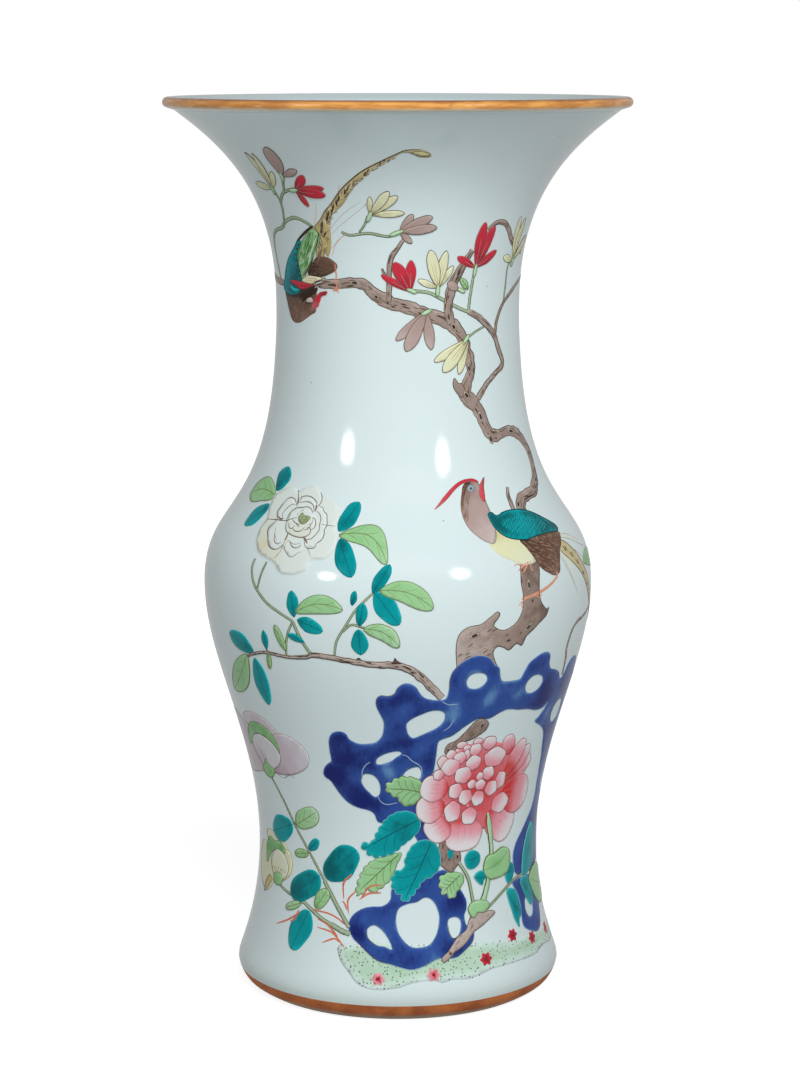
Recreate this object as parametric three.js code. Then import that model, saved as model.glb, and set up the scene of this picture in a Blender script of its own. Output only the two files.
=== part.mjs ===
// A porcelain gu vase: a flaring trumpet neck, a rounded shoulder and belly, a waisted lower body
// and a spreading foot. It is thrown in sections that are joined with slip, turned to a wedge-shaped
// foot ring round a recessed floor, glazed inside and out, and dressed with iron brown on the lip.
// Millimetres, +Z up. The origin is the centre of the foot ring's resting plane, and -Y is the
// painted front.

import * as THREE from "three";

// The outline's stations: the radius of the outer wall and its height above the resting plane.
const HEIGHT = 440;
const FOOT_BASE_RADIUS = 71.1;
const FOOT_EDGE_RADIUS = 76.4;
const FOOT_EDGE_HEIGHT = 3.4;
const FOOT_BULGE_RADIUS = 80.4;
const FOOT_BULGE_HEIGHT = 12.6;
const WAIST_RADIUS = 69.4;
const WAIST_HEIGHT = 72.3;
const BELLY_RADIUS = 95.7;
const BELLY_HEIGHT = 203.3;
const NECK_RADIUS = 59.3;
const NECK_HEIGHT = 341.1;
const MOUTH_RADIUS = 108;

// How full each curve is where it leaves a station, as shares of the height to the next one.
const FOOT_FULLNESS = 0.05;
const WAIST_LOWER_FULLNESS = 0.58;
const WAIST_UPPER_FULLNESS = 0.41;
const BELLY_LOWER_FULLNESS = 0.3;
const BELLY_UPPER_FULLNESS = 0.33;
const NECK_LOWER_FULLNESS = 0.795;
const NECK_UPPER_FULLNESS = 0.58;
const MOUTH_RISE = 0.18;
const MOUTH_SPREAD = 0.465;

// The lip is a rounded bead on the end of the wall.
const LIP_RADIUS = 2.5;
const LIP_OVERHANG = 5.5;
const LIP_BAND_HEIGHT = 6.1;

// The wall is measured square to its outer face.
const WALL_AT_FOOT = 11.5;
const WALL_AT_WAIST = 7.2;
const WALL_AT_BELLY = 5.6;
const WALL_AT_NECK = 5;
const WALL_AT_MOUTH = 4;

// The bare foot ring narrows to its resting face, and the floor sits on its top.
const FOOT_RING_HEIGHT = 9.3;
const FOOT_RING_BORE = 60;
const FOOT_REST_WIDTH = 6.6;
const FLOOR_RADIUS = 65.7;
const FLOOR_THICKNESS = 8;
const FLOOR_FILLET = 8;
const FLOOR_CLEARANCE = 0.3;

// Seams of slip join the thrown sections, and stand proud as a ridge inside.
const SEAM_THICKNESS = 1.6;
const SEAM_RIDGE = 0.9;
const BELLY_SEAM_DROP = 5.3;
const NECK_SEAM_RISE = 39;

// How finely the curves are divided.
const SEGMENTS_ROUND = 48;
const FILLET_STEPS = 4;
const LIP_STEPS = 8;
const FINE_STEPS = 400;

const MOUTH_HEIGHT = HEIGHT - LIP_BAND_HEIGHT;
const BELLY_SEAM_HEIGHT = BELLY_HEIGHT - BELLY_SEAM_DROP;
const NECK_SEAM_HEIGHT = BELLY_HEIGHT + NECK_SEAM_RISE;
const FLOOR_TOP = FOOT_RING_HEIGHT + FLOOR_THICKNESS;

const glaze = new THREE.MeshStandardMaterial({ color: 0xdbe7e7, roughness: 0.12 });
const slip = new THREE.MeshStandardMaterial({ color: 0xd3dcdb, roughness: 0.3 });
const ironBrown = new THREE.MeshStandardMaterial({ color: 0xb06a24, roughness: 0.35 });
const bareClay = new THREE.MeshStandardMaterial({ color: 0xb8622d, roughness: 0.85 });

// A stretch of the outline between two stations, each {radius, height}. The wall stands upright at
// its lower end, and at its upper end too unless a spread leans it outwards there.
function stretch(low, high, lowShare, highShare, spreadShare = 0) {
  const rise = high.height - low.height;
  const spread = (high.radius - low.radius) * spreadShare;
  return new THREE.CubicBezierCurve(
    new THREE.Vector2(low.radius, low.height),
    new THREE.Vector2(low.radius, low.height + rise * lowShare),
    new THREE.Vector2(high.radius - spread, high.height - rise * highShare),
    new THREE.Vector2(high.radius, high.height),
  );
}

// The outer wall as five stretches from the resting plane to the lip, each with its number of rings.
function outerWall() {
  const edge = { radius: FOOT_EDGE_RADIUS, height: FOOT_EDGE_HEIGHT };
  const bulge = { radius: FOOT_BULGE_RADIUS, height: FOOT_BULGE_HEIGHT };
  const waist = { radius: WAIST_RADIUS, height: WAIST_HEIGHT };
  const belly = { radius: BELLY_RADIUS, height: BELLY_HEIGHT };
  const neck = { radius: NECK_RADIUS, height: NECK_HEIGHT };
  const mouth = { radius: MOUTH_RADIUS, height: MOUTH_HEIGHT };
  const bevel = new THREE.LineCurve(
    new THREE.Vector2(FOOT_BASE_RADIUS, 0),
    new THREE.Vector2(edge.radius, edge.height),
  );
  const heel = new THREE.QuadraticBezierCurve(
    new THREE.Vector2(edge.radius, edge.height),
    new THREE.Vector2(bulge.radius, (edge.height + bulge.height) / 2),
    new THREE.Vector2(bulge.radius, bulge.height),
  );
  return [
    { curve: bevel, rings: 1 },
    { curve: heel, rings: 3 },
    { curve: stretch(bulge, waist, FOOT_FULLNESS, WAIST_LOWER_FULLNESS), rings: 7 },
    { curve: stretch(waist, belly, WAIST_UPPER_FULLNESS, BELLY_LOWER_FULLNESS), rings: 9 },
    { curve: stretch(belly, neck, BELLY_UPPER_FULLNESS, NECK_LOWER_FULLNESS), rings: 12 },
    { curve: stretch(neck, mouth, NECK_UPPER_FULLNESS, MOUTH_RISE, MOUTH_SPREAD), rings: 10 },
  ];
}

const WALL_STRETCHES = outerWall();
const FINE_OUTLINE = WALL_STRETCHES.flatMap(({ curve }) => curve.getPoints(FINE_STEPS));
const RING_HEIGHTS = WALL_STRETCHES.flatMap(({ curve, rings }) => curve.getPoints(rings)).map((p) => p.y);

// The outer wall's radius at a height, read between the two nearest points of the fine outline.
function outerRadius(height) {
  const above = FINE_OUTLINE.findIndex((p) => p.y > height);
  if (above < 1) return FINE_OUTLINE.at(above).x;
  const low = FINE_OUTLINE[above - 1];
  const high = FINE_OUTLINE[above];
  return THREE.MathUtils.mapLinear(height, low.y, high.y, low.x, high.x);
}

// The wall's thickness at a height, eased between the stations.
function wallThickness(height) {
  const stations = [
    [FOOT_BULGE_HEIGHT, WALL_AT_FOOT],
    [WAIST_HEIGHT, WALL_AT_WAIST],
    [BELLY_HEIGHT, WALL_AT_BELLY],
    [NECK_HEIGHT, WALL_AT_NECK],
    [MOUTH_HEIGHT, WALL_AT_MOUTH],
  ];
  const above = Math.max(1, stations.findIndex(([station]) => station >= height));
  const [lowHeight, lowWall] = stations[above - 1];
  const [highHeight, highWall] = stations[above];
  return THREE.MathUtils.lerp(lowWall, highWall, THREE.MathUtils.smoothstep(height, lowHeight, highHeight));
}

// The inner wall's radius at a height: the thickness laid square to the outer face.
function innerRadius(height) {
  const reach = 0.5;
  const low = Math.max(height - reach, FOOT_RING_HEIGHT);
  const high = Math.min(height + reach, MOUTH_HEIGHT);
  const lean = (outerRadius(high) - outerRadius(low)) / (high - low);
  return outerRadius(height) - wallThickness(height) * Math.hypot(1, lean);
}

// The heights of the rings of a section, its two ends included.
function ringHeights(low, high) {
  const nearEnd = 0.8;
  const between = RING_HEIGHTS.filter((z) => z > low + nearEnd && z < high - nearEnd);
  return [low, ...new Set(between), high];
}

// Revolves a closed profile of [radius, height] points, given round the section anticlockwise.
function revolve(name, profile, material) {
  const points = [...profile, profile[0]].map(([radius, height]) => new THREE.Vector2(radius, height));
  const geometry = new THREE.LatheGeometry(points, SEGMENTS_ROUND).rotateX(Math.PI / 2);
  const mesh = new THREE.Mesh(geometry, material);
  mesh.name = name;
  return mesh;
}

// A thrown section of the wall between two heights, with flat ends.
function thrownSection(name, low, high) {
  const heights = ringHeights(low, high);
  const outside = heights.map((z) => [outerRadius(z), z]);
  const inside = heights.map((z) => [innerRadius(z), z]).reverse();
  return revolve(name, [...outside, ...inside], glaze);
}

// The lowest section is opened below to take the floor, which it meets with a small clearance.
function lowerSection(name, low, high) {
  const seat = FLOOR_RADIUS + FLOOR_CLEARANCE;
  const seatTop = FLOOR_TOP + FLOOR_FILLET;
  const outside = ringHeights(low, high).map((z) => [outerRadius(z), z]);
  const inside = ringHeights(seatTop, high).map((z) => [innerRadius(z), z]);
  inside[0][0] = Math.min(inside[0][0], seat);
  return revolve(name, [...outside, ...inside.reverse(), [seat, seatTop], [seat, low]], glaze);
}

// A ring of slip between two sections, flush outside and squeezed out in a ridge inside.
function slipSeam(name, low) {
  const high = low + SEAM_THICKNESS;
  const middle = (low + high) / 2;
  return revolve(
    name,
    [
      [outerRadius(low), low],
      [outerRadius(high), high],
      [innerRadius(high), high],
      [innerRadius(middle) - SEAM_RIDGE, middle],
      [innerRadius(low), low],
    ],
    slip,
  );
}

// The bare foot ring: bevelled outside, leaning inwards to its bore inside.
function footRing() {
  const outside = ringHeights(0, FOOT_RING_HEIGHT).map((z) => [outerRadius(z), z]);
  const restInner = FOOT_BASE_RADIUS - FOOT_REST_WIDTH;
  return revolve("foot_ring", [...outside, [FOOT_RING_BORE, FOOT_RING_HEIGHT], [restInner, 0]], bareClay);
}

// The floor: a disc on top of the foot ring, whose upper edge turns up to meet the wall.
function floorDisc() {
  const turnUp = [];
  for (let step = 0; step <= FILLET_STEPS; step++) {
    const angle = (step / FILLET_STEPS) * (Math.PI / 2);
    turnUp.push([
      FLOOR_RADIUS - FLOOR_FILLET * (1 - Math.cos(angle)),
      FLOOR_TOP + FLOOR_FILLET * (1 - Math.sin(angle)),
    ]);
  }
  return revolve("floor", [[0, FOOT_RING_HEIGHT], [FLOOR_RADIUS, FOOT_RING_HEIGHT], ...turnUp, [0, FLOOR_TOP]], glaze);
}

// The lip: a bead that overhangs the wall's end, dressed with iron brown.
function lipBand() {
  const centre = { radius: MOUTH_RADIUS + LIP_OVERHANG - LIP_RADIUS, height: HEIGHT - LIP_RADIUS };
  const from = THREE.MathUtils.degToRad(-75);
  const to = THREE.MathUtils.degToRad(140);
  const bead = [];
  for (let step = 0; step <= LIP_STEPS; step++) {
    const angle = THREE.MathUtils.lerp(from, to, step / LIP_STEPS);
    bead.push([centre.radius + LIP_RADIUS * Math.cos(angle), centre.height + LIP_RADIUS * Math.sin(angle)]);
  }
  const outer = [outerRadius(MOUTH_HEIGHT), MOUTH_HEIGHT];
  const inner = [innerRadius(MOUTH_HEIGHT), MOUTH_HEIGHT];
  return revolve("lip_band", [outer, ...bead, inner], ironBrown);
}

const vase = new THREE.Group();
vase.add(footRing());
vase.add(floorDisc());
vase.add(lowerSection("lower_body", FOOT_RING_HEIGHT, BELLY_SEAM_HEIGHT));
vase.add(slipSeam("belly_seam", BELLY_SEAM_HEIGHT));
vase.add(thrownSection("shoulder", BELLY_SEAM_HEIGHT + SEAM_THICKNESS, NECK_SEAM_HEIGHT));
vase.add(slipSeam("neck_seam", NECK_SEAM_HEIGHT));
vase.add(thrownSection("trumpet_neck", NECK_SEAM_HEIGHT + SEAM_THICKNESS, MOUTH_HEIGHT));
vase.add(lipBand());

export default vase;
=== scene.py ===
"""A porcelain gu vase, painted in famille rose enamels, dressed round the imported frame.

Lengths are millimetres unless a name says otherwise, and MM turns them into Blender's metres. A place
on the vase is a chart point: an azimuth in degrees, 0 at the middle of the painted front and rising to
the viewer's right, and a height in millimetres above the resting plane. Enamel stands on the glaze as
thin closed solids, each on top of what was painted there before it.
"""

import math
import random

import bpy
import numpy as np
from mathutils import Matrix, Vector
from mathutils.geometry import delaunay_2d_cdt


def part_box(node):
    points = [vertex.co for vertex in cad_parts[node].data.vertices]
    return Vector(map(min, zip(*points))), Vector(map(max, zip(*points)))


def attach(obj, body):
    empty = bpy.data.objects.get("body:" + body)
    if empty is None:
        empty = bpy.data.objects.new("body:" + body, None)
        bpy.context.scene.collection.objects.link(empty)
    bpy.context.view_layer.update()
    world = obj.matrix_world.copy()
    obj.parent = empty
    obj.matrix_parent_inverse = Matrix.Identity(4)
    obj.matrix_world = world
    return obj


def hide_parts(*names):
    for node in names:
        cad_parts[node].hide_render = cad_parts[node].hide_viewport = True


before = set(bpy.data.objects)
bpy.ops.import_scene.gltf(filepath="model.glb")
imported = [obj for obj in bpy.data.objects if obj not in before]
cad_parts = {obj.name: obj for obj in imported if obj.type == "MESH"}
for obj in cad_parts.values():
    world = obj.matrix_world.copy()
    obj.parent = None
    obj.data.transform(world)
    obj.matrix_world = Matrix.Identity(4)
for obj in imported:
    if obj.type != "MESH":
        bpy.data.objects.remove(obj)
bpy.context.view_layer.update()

MM = 0.001

# How finely the smooth walls are divided.
SEGMENTS_ROUND = 192
# From how many degrees of turn an edge of a turned body stays crisp.
CORNER_TURN = 48.0
RING_SPACING = 2.4

# How strongly the fired enamels shine.
ENAMEL_SPECULAR = 0.12

# The camera, as fitted to the photograph's outline.
CAMERA_DISTANCE = 1431.0
CAMERA_HEIGHT = 462.3
CAMERA_PITCH = 9.37
CAMERA_SIDESTEP = 1.1
CAMERA_LENS = 98.93
SENSOR_SIZE = 36.0

# Enamel solids reach a little under the glaze, and stand on any enamel already there. Their edges are
# rounded down by the bevel, and the wash that thins at an edge does so over the edge's reach.
ROOT_DEPTH = 0.06
LINE_RISE = 0.009
EDGE_BEVEL = 0.045
BEVEL_SHARE = 0.4
EDGE_REACH = 0.7

# The cells of the chart in which the height of the enamel is kept, in degrees and in millimetres.
CELL_TURN = 0.5
CELL_RISE = 0.6

# The lip's bead, the reach of a joint's ridge inside, and the wear on the foot's edges.
LIP_BEAD = 2.5
LIP_TURN = (-75.0, 140.0)
RIDGE_REACH = 2.4
FOOT_WEAR = 0.7

# Where the lip's brown dressing fades out on its outer side and grows dark along its top, as heights, where
# it ends on the inner side, as radii, and how far these edges wander.
DRESSING_FOOT = (435.9, 437.2)
DRESSING_CROWN = (439.0, 440.6)
DRESSING_TOP = (110.6, 111.4)
DRESSING_WANDER = 1.2
# Between which heights the glaze inside the lip turns greyer towards its top.
LIP_GREYING = (434.5, 438.5)

# Lights, in watts, and the strengths that the world and the floor show.
FRONT_POWER = 49.0
SIDE_POWER = 3.0
WORLD_FILL = 0.14
WORLD_SHEEN = 0.5
FLOOR_GLOW = (0.84, 1.0)
FLOOR_REACH = (0.3, 1.2)


# The vase's wall, read from the frame

WALL_NODES = ("lower_body", "belly_seam", "shoulder", "neck_seam", "trumpet_neck")
SEAM_NODES = ("belly_seam", "neck_seam")
FLOOR_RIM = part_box("floor")[1].z / MM


def node_rings(*names):
    """The heights of the rings of CAD nodes, with the outer and the inner radius of each."""
    points = np.concatenate([[v.co[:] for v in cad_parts[name].data.vertices] for name in names]) / MM
    heights = np.round(points[:, 2], 2)
    radii = np.hypot(points[:, 0], points[:, 1])
    levels = np.unique(heights)
    outer = np.array([radii[heights == z].max() for z in levels])
    inner = np.array([radii[heights == z].min() for z in levels])
    return levels, outer, inner


def smooth_values(x, known_x, known_y):
    """Reads a smooth curve through known points: a cubic between each two, with eased slopes."""
    steps = np.diff(known_x)
    slopes = np.diff(known_y) / steps
    tangents = np.empty(len(known_x))
    tangents[0] = slopes[0]
    tangents[-1] = slopes[-1]
    tangents[1:-1] = (slopes[:-1] * steps[1:] + slopes[1:] * steps[:-1]) / (steps[1:] + steps[:-1])
    i = np.clip(np.searchsorted(known_x, x, side="right") - 1, 0, len(steps) - 1)
    t = (x - known_x[i]) / steps[i]
    rise = steps[i]
    return (
        (2 * t**3 - 3 * t**2 + 1) * known_y[i]
        + (t**3 - 2 * t**2 + t) * rise * tangents[i]
        + (3 * t**2 - 2 * t**3) * known_y[i + 1]
        + (t**3 - t**2) * rise * tangents[i + 1]
    )


def wall_curves():
    """The outer and the inner wall as heights and radii, without the seams' inner ridges."""
    heights, outer, inner = node_rings(*WALL_NODES)
    ridges = [sum(corner.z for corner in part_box(seam)) / 2 / MM for seam in SEAM_NODES]
    plain = np.array([all(abs(z - ridge) > 0.3 for ridge in ridges) for z in heights])
    outside = plain & (np.abs(heights - FLOOR_RIM) > 0.05)
    inside = plain & (heights > FLOOR_RIM - 0.05)
    return (heights[outside], outer[outside]), (heights[inside], inner[inside])


OUTER_WALL, INNER_WALL = wall_curves()
GLAZE_LINE = float(OUTER_WALL[0][0])
MOUTH_HEIGHT = float(OUTER_WALL[0][-1])


def wall_radius(height):
    """The outer wall's radius at a height, or at each of several heights."""
    return smooth_values(np.asarray(height, float), *OUTER_WALL)


def on_vase(azimuth, height, lift=0.0):
    """Points in metres on the outer wall, raised from it by a lift measured square to the wall."""
    turn = np.radians(azimuth)
    height = np.asarray(height, float)
    reach = 0.25
    lean = (wall_radius(height + reach) - wall_radius(height - reach)) / (2 * reach)
    square = np.hypot(1.0, lean)
    radius = wall_radius(height) + lift / square
    level = height - lift * lean / square
    return np.stack([radius * np.sin(turn), -radius * np.cos(turn), level], axis=-1) * MM


# Curves on the chart


def millimetres_per_degree(height):
    """How far one degree of azimuth reaches along the wall at a height."""
    return np.radians(1.0) * wall_radius(height)


def spline(points, closed):
    """A dense Catmull-Rom curve through chart points."""
    steps = np.linspace(0, 1, 10, endpoint=False)[:, None]
    points = np.asarray(points, float)
    if closed:
        ends = np.concatenate([points[-1:], points, points[:2]])
    else:
        ends = np.concatenate([2 * points[:1] - points[1:2], points, 2 * points[-1:] - points[-2:-1]])
    spans = []
    for a, b, c, d in zip(ends, ends[1:], ends[2:], ends[3:]):
        bend = 2 * b + (c - a) * steps + (2 * a - 5 * b + 4 * c - d) * steps**2
        spans.append((bend + (3 * b - a - 3 * c + d) * steps**3) / 2)
    if not closed:
        spans.append(points[-1:])
    return np.concatenate(spans)


def even_spaced(path, spacing, closed):
    """The path again, with points a spacing apart in millimetres along the wall."""
    if closed:
        path = np.concatenate([path, path[:1]])
    across = millimetres_per_degree((path[1:, 1] + path[:-1, 1]) / 2)
    steps = np.hypot(np.diff(path[:, 0]) * across, np.diff(path[:, 1]))
    reached = np.concatenate([[0], np.cumsum(steps)])
    count = max(3 if closed else 1, int(round(reached[-1] / spacing)))
    wanted = np.linspace(0, reached[-1], count + 1)
    if closed:
        wanted = wanted[:-1]
    return np.stack([np.interp(wanted, reached, path[:, k]) for k in (0, 1)], axis=1)


def curve_through(points, closed=False, spacing=1.0):
    """A smooth curve through chart points. A point given twice in a row is a corner."""
    points = [tuple(p) for p in points]
    corners = [i for i in range(len(points) - 1) if points[i] == points[i + 1]]
    if closed and corners:
        turn = corners[0] + 1
        points = points[turn:] + points[:turn]
    if not corners:
        return even_spaced(spline(points, closed), spacing, closed)
    runs = [[points[0]]]
    for before, after in zip(points, points[1:]):
        if before == after:
            runs.append([after])
        else:
            runs[-1].append(after)
    runs = [run for run in runs if len(run) > 1]
    path = np.concatenate([spline(run, False)[:-1] for run in runs] + [np.array(runs[-1][-1:], float)])
    return even_spaced(path, spacing, closed)


def place(anchor, offsets):
    """Chart points from an anchor and offsets in millimetres, across and up the wall."""
    offsets = np.asarray(offsets, float)
    heights = anchor[1] + offsets[:, 1]
    return np.stack([anchor[0] + offsets[:, 0] / millimetres_per_degree(heights), heights], axis=1)


def offset_between(start, end):
    """The offset in millimetres from one chart point to another."""
    across = millimetres_per_degree((start[1] + end[1]) / 2)
    return (end[0] - start[0]) * across, end[1] - start[1]


def within(points, loops):
    """Whether each flat point lies inside closed loops, an inner loop being a hole."""
    x = points[:, 0:1]
    y = points[:, 1:2]
    crossings = np.zeros(len(points), int)
    for loop in loops:
        after = np.roll(loop, -1, axis=0)
        straddles = (loop[:, 1] > y) != (after[:, 1] > y)
        fall = after[:, 1] - loop[:, 1]
        fall = np.where(fall == 0, 1e-9, fall)
        crossing = loop[:, 0] + (y - loop[:, 1]) * (after[:, 0] - loop[:, 0]) / fall
        crossings += (straddles & (x < crossing)).sum(axis=1)
    return crossings % 2 == 1


# Enamel solids


class Relief:
    """How high the enamel already stands on the wall, kept over a grid of small chart cells."""

    def __init__(self):
        self.lifts = np.zeros((int(360 / CELL_TURN), int(MOUTH_HEIGHT / CELL_RISE) + 2))

    def around(self, points):
        """The highest enamel in and beside the cell of each chart point."""
        across, up = cells(points)
        turns, rises = self.lifts.shape
        beside = [((across + i) % turns, np.clip(up + j, 0, rises - 1)) for i in (-1, 0, 1) for j in (-1, 0, 1)]
        return np.max([self.lifts[cell] for cell in beside], axis=0)

    def lay(self, points, thickness):
        """Lays enamel over the cells of chart points, and tells how high its top then stands."""
        top = self.around(points).max() + thickness
        across, up = cells(points)
        self.lifts[across % len(self.lifts), up] = top
        return top


def cells(points):
    """The relief cell of each chart point."""
    return np.floor(points[:, 0] / CELL_TURN).astype(int), np.floor(points[:, 1] / CELL_RISE).astype(int)


RELIEF = Relief()


def distance_to(points, rim):
    """How far each flat point is from the nearest of the rim's points."""
    return np.array([np.hypot(*(rim - point).T).min() for point in points])


class EnamelPiece:
    """One painted piece: thin closed solids of one enamel on the wall, gathered into one mesh."""

    def __init__(self, name, material, slot, thickness, thin_edge):
        self.name = name
        self.material = material
        self.slot = slot
        self.thickness = thickness
        self.thin_edge = thin_edge
        self.vertices = []
        self.washes = []
        self.faces = []
        self.smooth = []
        self.count = 0

    def _add(self, vertices, washes, faces, smooth):
        self.vertices.append(vertices)
        self.washes.append(washes)
        self.faces += [[corner + self.count for corner in face] for face in faces]
        self.smooth += smooth
        self.count += len(vertices)

    def patch(self, outline, wash=0.5, holes=(), spacing=1.5):
        """A patch inside a closed chart outline. Its wash is a number, or a function of chart points."""
        loops = [np.asarray(loop, float) for loop in (outline, *holes)]
        scale = np.array([millimetres_per_degree(loops[0][:, 1].mean()), 1.0])
        flat = [loop * scale for loop in loops]
        points, triangles = filled(flat, spacing)
        sides = set()
        for p, q, r in triangles.tolist():
            sides |= {(p, q), (q, r), (r, p)}
        border = [edge for edge in sorted(sides) if edge[::-1] not in sides]
        on_border = np.zeros(len(points), bool)
        on_border[[i for edge in border for i in edge]] = True
        chart = points / scale
        corners = chart[triangles]
        sides_between = (corners + np.roll(corners, 1, axis=1)) / 2
        covered = np.concatenate([chart, corners.mean(axis=1), sides_between.reshape(-1, 2)])
        top_lift = RELIEF.lay(covered, self.thickness)
        bevel = min(EDGE_BEVEL, BEVEL_SHARE * self.thickness)
        top = on_vase(chart[:, 0], chart[:, 1], top_lift - bevel * on_border)
        bottom = on_vase(chart[:, 0], chart[:, 1], -ROOT_DEPTH)
        values = wash(chart) if callable(wash) else np.full(len(chart), float(wash))
        if self.thin_edge:
            inward = distance_to(points, np.concatenate(flat))
            values = np.clip(values - self.thin_edge * np.exp(-inward / EDGE_REACH), 0, 1)
        n = len(points)
        faces = triangles.tolist()
        faces += (triangles[:, ::-1] + n).tolist()
        faces += [[q, p, p + n, q + n] for p, q in border]
        smooth = [True] * len(triangles) + [False] * (len(triangles) + len(border))
        self._add(np.concatenate([top, bottom]), np.tile(values, 2), faces, smooth)

    def line(self, path, width, wash=1.0, taper=(0.35, 0.35), closed=False):
        """A brush line along a chart path. The taper is how thin it gets at its two ends."""
        path = np.asarray(path, float)
        n = len(path)
        scale = np.stack([millimetres_per_degree(path[:, 1]), np.ones(n)], axis=1)
        step = np.roll(path, -1, axis=0) - np.roll(path, 1, axis=0) if closed else np.gradient(path, axis=0)
        slope = step * scale
        length = np.maximum(np.hypot(*slope.T), 1e-9)
        across = np.stack([-slope[:, 1], slope[:, 0]], axis=1) / length[:, None]
        share = np.linspace(0, 1, n)
        thin = taper[0] * (1 - share) + taper[1] * share
        half = width / 2 * (thin + (1 - thin) * np.sin(np.pi * share) ** 0.5)
        if closed:
            half = np.full(n, width / 2)
        left = path + across * half[:, None] / scale
        right = path - across * half[:, None] / scale
        under = np.pad(RELIEF.around(path), 1, mode="wrap" if closed else "edge")
        lift = np.max([under[:-2], under[1:-1], under[2:]], axis=0) + LINE_RISE
        corners = ((left, lift), (right, lift), (right, -ROOT_DEPTH), (left, -ROOT_DEPTH))
        rows = [on_vase(side[:, 0], side[:, 1], raised) for side, raised in corners]
        faces = [] if closed else [[3 * n, 2 * n, n, 0], [n - 1, 2 * n - 1, 3 * n - 1, 4 * n - 1]]
        for i in range(n if closed else n - 1):
            j = (i + 1) % n
            for k in range(4):
                a = k * n
                b = (k + 1) % 4 * n
                faces.append([b + i, b + j, a + j, a + i])
        self._add(np.concatenate(rows), np.full(4 * n, float(wash)), faces, [False] * len(faces))

    def make(self):
        """The piece as one object that rides on the vase."""
        mesh = bpy.data.meshes.new(self.name)
        mesh.from_pydata(np.concatenate(self.vertices).tolist(), [], self.faces)
        mesh.polygons.foreach_set("use_smooth", self.smooth)
        wash = mesh.attributes.new("wash", "FLOAT", "POINT")
        wash.data.foreach_set("value", np.concatenate(self.washes).astype(np.float32))
        mesh.materials.append(self.material)
        mesh.update()
        piece = bpy.data.objects.new(self.name, mesh)
        bpy.context.scene.collection.objects.link(piece)
        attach(piece, "root")
        return piece


def filled(loops, spacing):
    """Triangles that fill flat closed loops, all turning one way, an inner loop being a hole."""
    low = loops[0].min(axis=0)
    high = loops[0].max(axis=0)
    grid = []
    for row, y in enumerate(np.arange(low[1], high[1], spacing * math.sqrt(0.75))):
        xs = np.arange(low[0] + (row % 2) * spacing / 2, high[0], spacing)
        grid.append(np.stack([xs, np.full(len(xs), y)], axis=1))
    grid = np.concatenate(grid)
    grid = grid[within(grid, loops)]
    rim = np.concatenate(loops)
    if len(grid):
        grid = grid[distance_to(grid, rim) > spacing * 0.55]
    edges = []
    start = 0
    for loop in loops:
        edges += [(start + i, start + (i + 1) % len(loop)) for i in range(len(loop))]
        start += len(loop)
    seeds = [Vector(point) for point in np.concatenate([rim, grid])]
    found = delaunay_2d_cdt(seeds, edges, [], 0, 1e-4)
    points = np.array([v[:] for v in found[0]])
    triangles = np.array([face[:] for face in found[2]])
    triangles = triangles[within(points[triangles].mean(axis=1), loops)]
    a, b, c = (points[triangles[:, k]] for k in range(3))
    turn = (b[:, 0] - a[:, 0]) * (c[:, 1] - a[:, 1]) - (b[:, 1] - a[:, 1]) * (c[:, 0] - a[:, 0])
    triangles[turn < 0] = triangles[turn < 0][:, ::-1]
    triangles = triangles[np.abs(turn) > 1e-9]
    used, flat_index = np.unique(triangles, return_inverse=True)
    return points[used], flat_index.reshape(triangles.shape)


def fade(start, end):
    """A wash that rises from 0 at one chart point to 1 at another."""
    start = np.asarray(start, float)
    reach = offset_between(start, end)
    span = reach[0] ** 2 + reach[1] ** 2

    def wash(points):
        across = millimetres_per_degree((start[1] + end[1]) / 2)
        along = (points[:, 0] - start[0]) * across * reach[0] + (points[:, 1] - start[1]) * reach[1]
        return np.clip(along / span, 0, 1)

    return wash


def soft(points, reach, middle):
    """A wash that rises from 0 at the edge of chart points to its middle value at a reach inside."""
    outline = curve_through(points, closed=True, spacing=1.0)
    scale = np.array([millimetres_per_degree(outline[:, 1].mean()), 1.0])
    return lambda spots: middle * np.clip(distance_to(spots * scale, outline * scale) / reach, 0, 1)


def glow(centre, reach, middle=1.0, edge=0.0):
    """A wash that goes from one value at a chart point to another at a reach in millimetres from it."""

    def wash(points):
        away = np.hypot((points[:, 0] - centre[0]) * millimetres_per_degree(centre[1]), points[:, 1] - centre[1])
        share = np.clip(away / reach, 0, 1)
        return middle + (edge - middle) * share

    return wash


# Shader node groups, each placed in every material that needs its effect


def new_group(name, inputs, outputs):
    """A shader node group with named sockets, and its input and output nodes."""
    group = bpy.data.node_groups.new(name, "ShaderNodeTree")
    for socket, kind, value in inputs:
        made = group.interface.new_socket(socket, in_out="INPUT", socket_type=kind)
        made.default_value = value
    for socket, kind in outputs:
        group.interface.new_socket(socket, in_out="OUTPUT", socket_type=kind)
    return group, group.nodes.new("NodeGroupInput"), group.nodes.new("NodeGroupOutput")


def put(value, socket, tree):
    """Feeds an input from another node's output, or sets its value."""
    if isinstance(value, bpy.types.NodeSocket):
        tree.links.new(value, socket)
    else:
        socket.default_value = value


def maths(tree, operation, first, second=0.0, third=0.0, clamp=False):
    node = tree.nodes.new("ShaderNodeMath")
    node.operation = operation
    node.use_clamp = clamp
    for value, socket in zip((first, second, third), node.inputs):
        put(value, socket, tree)
    return node.outputs[0]


def blend(tree, share, first, second):
    """A mix of two colours."""
    node = tree.nodes.new("ShaderNodeMix")
    node.data_type = "RGBA"
    put(share, node.inputs["Factor"], tree)
    put(first, node.inputs[6], tree)
    put(second, node.inputs[7], tree)
    return node.outputs[2]


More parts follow.
